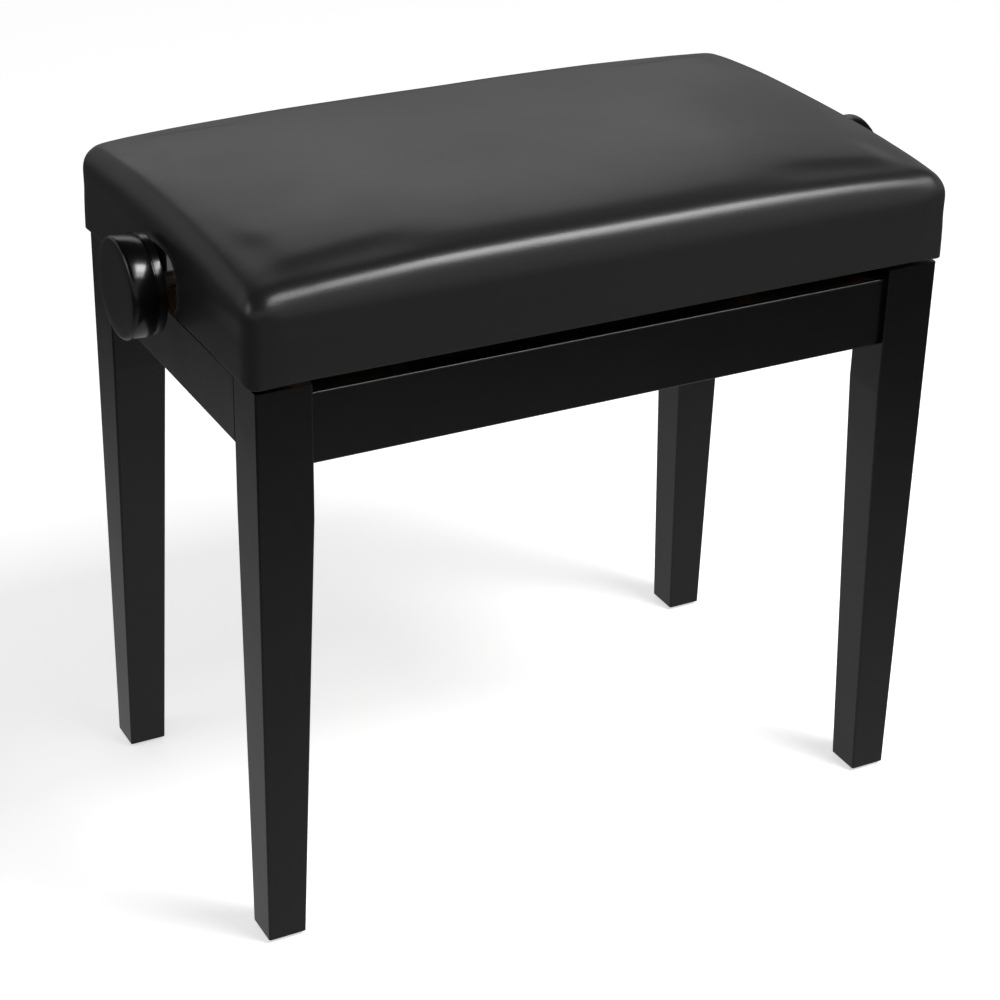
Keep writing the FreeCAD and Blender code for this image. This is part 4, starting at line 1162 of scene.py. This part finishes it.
class BENCH_OT_stage(bpy.types.Operator):
    """Set the pale floor, the background, the lamps and the camera"""
    bl_idname = "bench.stage"
    bl_label = "Stage"

    def execute(self, context):
        settings = context.scene.bench_stage
        self.floor()
        self.background()
        self.lamps()
        self.camera(settings)
        view = context.scene.view_settings
        view.view_transform = "Standard"
        return {"FINISHED"}

    def floor(self):
        size = 14.0
        floor = bpy.data.objects.new("studio_floor", bpy.data.meshes.new("studio_floor"))
        floor.data.from_pydata([(-size, -size, 0), (size, -size, 0), (size, size, 0), (-size, size, 0)],
                               [], [(0, 1, 2, 3)])
        bpy.context.scene.collection.objects.link(floor)
        material, tree = new_material("matt_white_floor")
        seen = add_node(tree, "ShaderNodeLightPath")
        paint = add_node(tree, "ShaderNodeBsdfDiffuse", Color=linear("#F2F2F2"))
        glow = add_node(tree, "ShaderNodeEmission", Color=(1, 1, 1, 1), Strength=0.6)
        both = add_node(tree, "ShaderNodeAddShader")
        # painted pool of light: glossy rays see an emission patch round the bench that falls off with
        # distance, as a polished face mirrors a lit floor
        place = add_node(tree, "ShaderNodeTexCoord").outputs["Object"]
        reach = add_node(tree, "ShaderNodeVectorMath", {0: place}, operation="LENGTH")
        painted_pool_falloff = add_node(tree, "ShaderNodeMapRange", {"Value": reach.outputs["Value"]}, From_Min=0.25,
                         From_Max=1.15, To_Min=0.42, To_Max=0.07)
        painted_light_pool = add_node(tree, "ShaderNodeEmission", {"Strength": painted_pool_falloff.outputs["Result"]}, Color=(1, 1, 1, 1))
        tree.links.new(paint.outputs[0], both.inputs[0])
        tree.links.new(glow.outputs[0], both.inputs[1])
        # glossy rays see the painted pool of light in place of the diffuse floor
        mirrored = mix(tree, seen.outputs["Is Glossy Ray"], paint, painted_light_pool)
        # further out the floor turns into the white backdrop, so that no horizon shows
        distance = add_node(tree, "ShaderNodeMapRange", {"Value": reach.outputs["Value"]}, From_Min=0.9,
                            From_Max=3.0, To_Min=0.0, To_Max=1.0)
        white = add_node(tree, "ShaderNodeEmission", Color=(1, 1, 1, 1), Strength=1.0)
        fade = mix(tree, distance.outputs["Result"], both, white)
        pick = mix(tree, seen.outputs["Is Camera Ray"], mirrored, fade)
        # seen from below the floor is clear
        below = add_node(tree, "ShaderNodeNewGeometry").outputs["Backfacing"]
        sides = mix(tree, below, pick, add_node(tree, "ShaderNodeBsdfTransparent"))
        close(tree, sides)
        floor.data.materials.append(material)

    def background(self):
        world = bpy.data.worlds.new("studio")
        bpy.context.scene.world = world
        world.use_nodes = True
        tree = world.node_tree
        tree.nodes.clear()
        seen = add_node(tree, "ShaderNodeLightPath")
        rays = {0: seen.outputs["Is Camera Ray"], 1: seen.outputs["Is Transmission Ray"]}
        direct = add_node(tree, "ShaderNodeMath", rays, operation="MAXIMUM")
        # the walls are bright near the floor and the ceiling is dark
        place = add_node(tree, "ShaderNodeTexCoord").outputs["Generated"]
        split = add_node(tree, "ShaderNodeSeparateXYZ", {"Vector": place})
        wall = ramp(tree, split.outputs["Z"],
                    [(0.0, 0.34), (0.40, 0.40), (0.485, 0.37), (0.56, 0.035), (1.0, 0.012)])
        around = add_node(tree, "ShaderNodeBackground", {"Color": wall.outputs["Color"]}, Strength=1.0)
        soft = add_node(tree, "ShaderNodeBackground", Color=(1, 1, 1, 1), Strength=0.22)
        white = add_node(tree, "ShaderNodeBackground", Color=(1, 1, 1, 1), Strength=1.0)
        glossy = mix(tree, seen.outputs["Is Glossy Ray"], soft, around)
        pick = mix(tree, direct.outputs["Value"], glossy, white)
        output = add_node(tree, "ShaderNodeOutputWorld")
        tree.links.new(pick.outputs[0], output.inputs["Surface"])

    def lamps(self):
        for name, place, aim, size, power in (
                ("edge_softbox", (1.0, -1.05, 2.2), (1.0, -1.05, 0.0), (1.2, 0.75), 46.0),
                ("key_softbox", (0.95, -1.5, 1.95), (0.95, -1.5, 0.0), (1.3, 0.45), 17.0),
                ("left_softbox", (-2.2, 0.3, 1.4), (0, 0, 0.3), (1.0, 1.0), 5.0),
                ("back_softbox", (0.6, 2.2, 1.7), (0, 0, 0.4), (2.0, 0.8), 3.0)):
            data = bpy.data.lights.new(name, "AREA")
            data.shape = "RECTANGLE"
            data.size, data.size_y = size
            data.energy = power
            lamp = bpy.data.objects.new(name, data)
            lamp.location = place
            direction = Vector(aim) - Vector(place)
            lamp.rotation_euler = direction.to_track_quat("-Z", "Y").to_euler()
            bpy.context.scene.collection.objects.link(lamp)

    def camera(self, settings):
        azimuth, elevation, roll = settings.azimuth, settings.elevation, settings.roll
        back = Vector((math.sin(azimuth) * math.cos(elevation), -math.cos(azimuth) * math.cos(elevation),
                       math.sin(elevation)))
        level = Vector((math.cos(azimuth), math.sin(azimuth), 0.0))
        upright = back.cross(level)
        right = math.cos(roll) * level + math.sin(roll) * upright
        up = math.cos(roll) * upright - math.sin(roll) * level
        data = bpy.data.cameras.new("camera")
        data.sensor_width = 36.0
        data.lens = settings.lens
        data.clip_start, data.clip_end = 0.05, 60.0
        camera = bpy.data.objects.new("camera", data)
        place = Vector((0, 0, 0.25)) - 0.004015 * right - 0.019079 * up + settings.distance * back
        turn = Matrix((right, up, back)).transposed().to_4x4()
        camera.matrix_world = Matrix.Translation(place) @ turn
        bpy.context.scene.collection.objects.link(camera)
        bpy.context.scene.camera = camera


class BENCH_PT_panel(bpy.types.Panel):
    bl_idname = "BENCH_PT_panel"
    bl_label = "Piano Bench"
    bl_space_type = "VIEW_3D"
    bl_region_type = "UI"
    bl_category = "Piano Bench"

    def draw(self, context):
        layout = self.layout
        for group in (context.scene.bench_cushion, context.scene.bench_colours,
                      context.scene.bench_hardware, context.scene.bench_stage):
            box = layout.box()
            for name in group.bl_rna.properties.keys():
                if name not in ("rna_type", "name"):
                    box.prop(group, name)
        for operator in OPERATORS:
            layout.operator(operator.bl_idname)


GROUPS = {
    "bench_cushion": CushionSizes,
    "bench_colours": FinishColours,
    "bench_hardware": HardwareSizes,
    "bench_stage": StageSettings,
}
OPERATORS = (BENCH_OT_finishes, BENCH_OT_cushion, BENCH_OT_board, BENCH_OT_knobs, BENCH_OT_spindle,
             BENCH_OT_screws, BENCH_OT_staples, BENCH_OT_stage)


def register():
    for name, group in GROUPS.items():
        bpy.utils.register_class(group)
        setattr(bpy.types.Scene, name, bpy.props.PointerProperty(type=group))
    for operator in OPERATORS:
        bpy.utils.register_class(operator)
    bpy.utils.register_class(BENCH_PT_panel)


def unregister():
    bpy.utils.unregister_class(BENCH_PT_panel)
    for operator in reversed(OPERATORS):
        bpy.utils.unregister_class(operator)
    for name, group in GROUPS.items():
        delattr(bpy.types.Scene, name)
        bpy.utils.unregister_class(group)


def main():
    register()
    make_finishes()
    for operator in OPERATORS:
        group, name = operator.bl_idname.split(".")
        getattr(getattr(bpy.ops, group), name)()


if __name__ == "__main__":
    main()
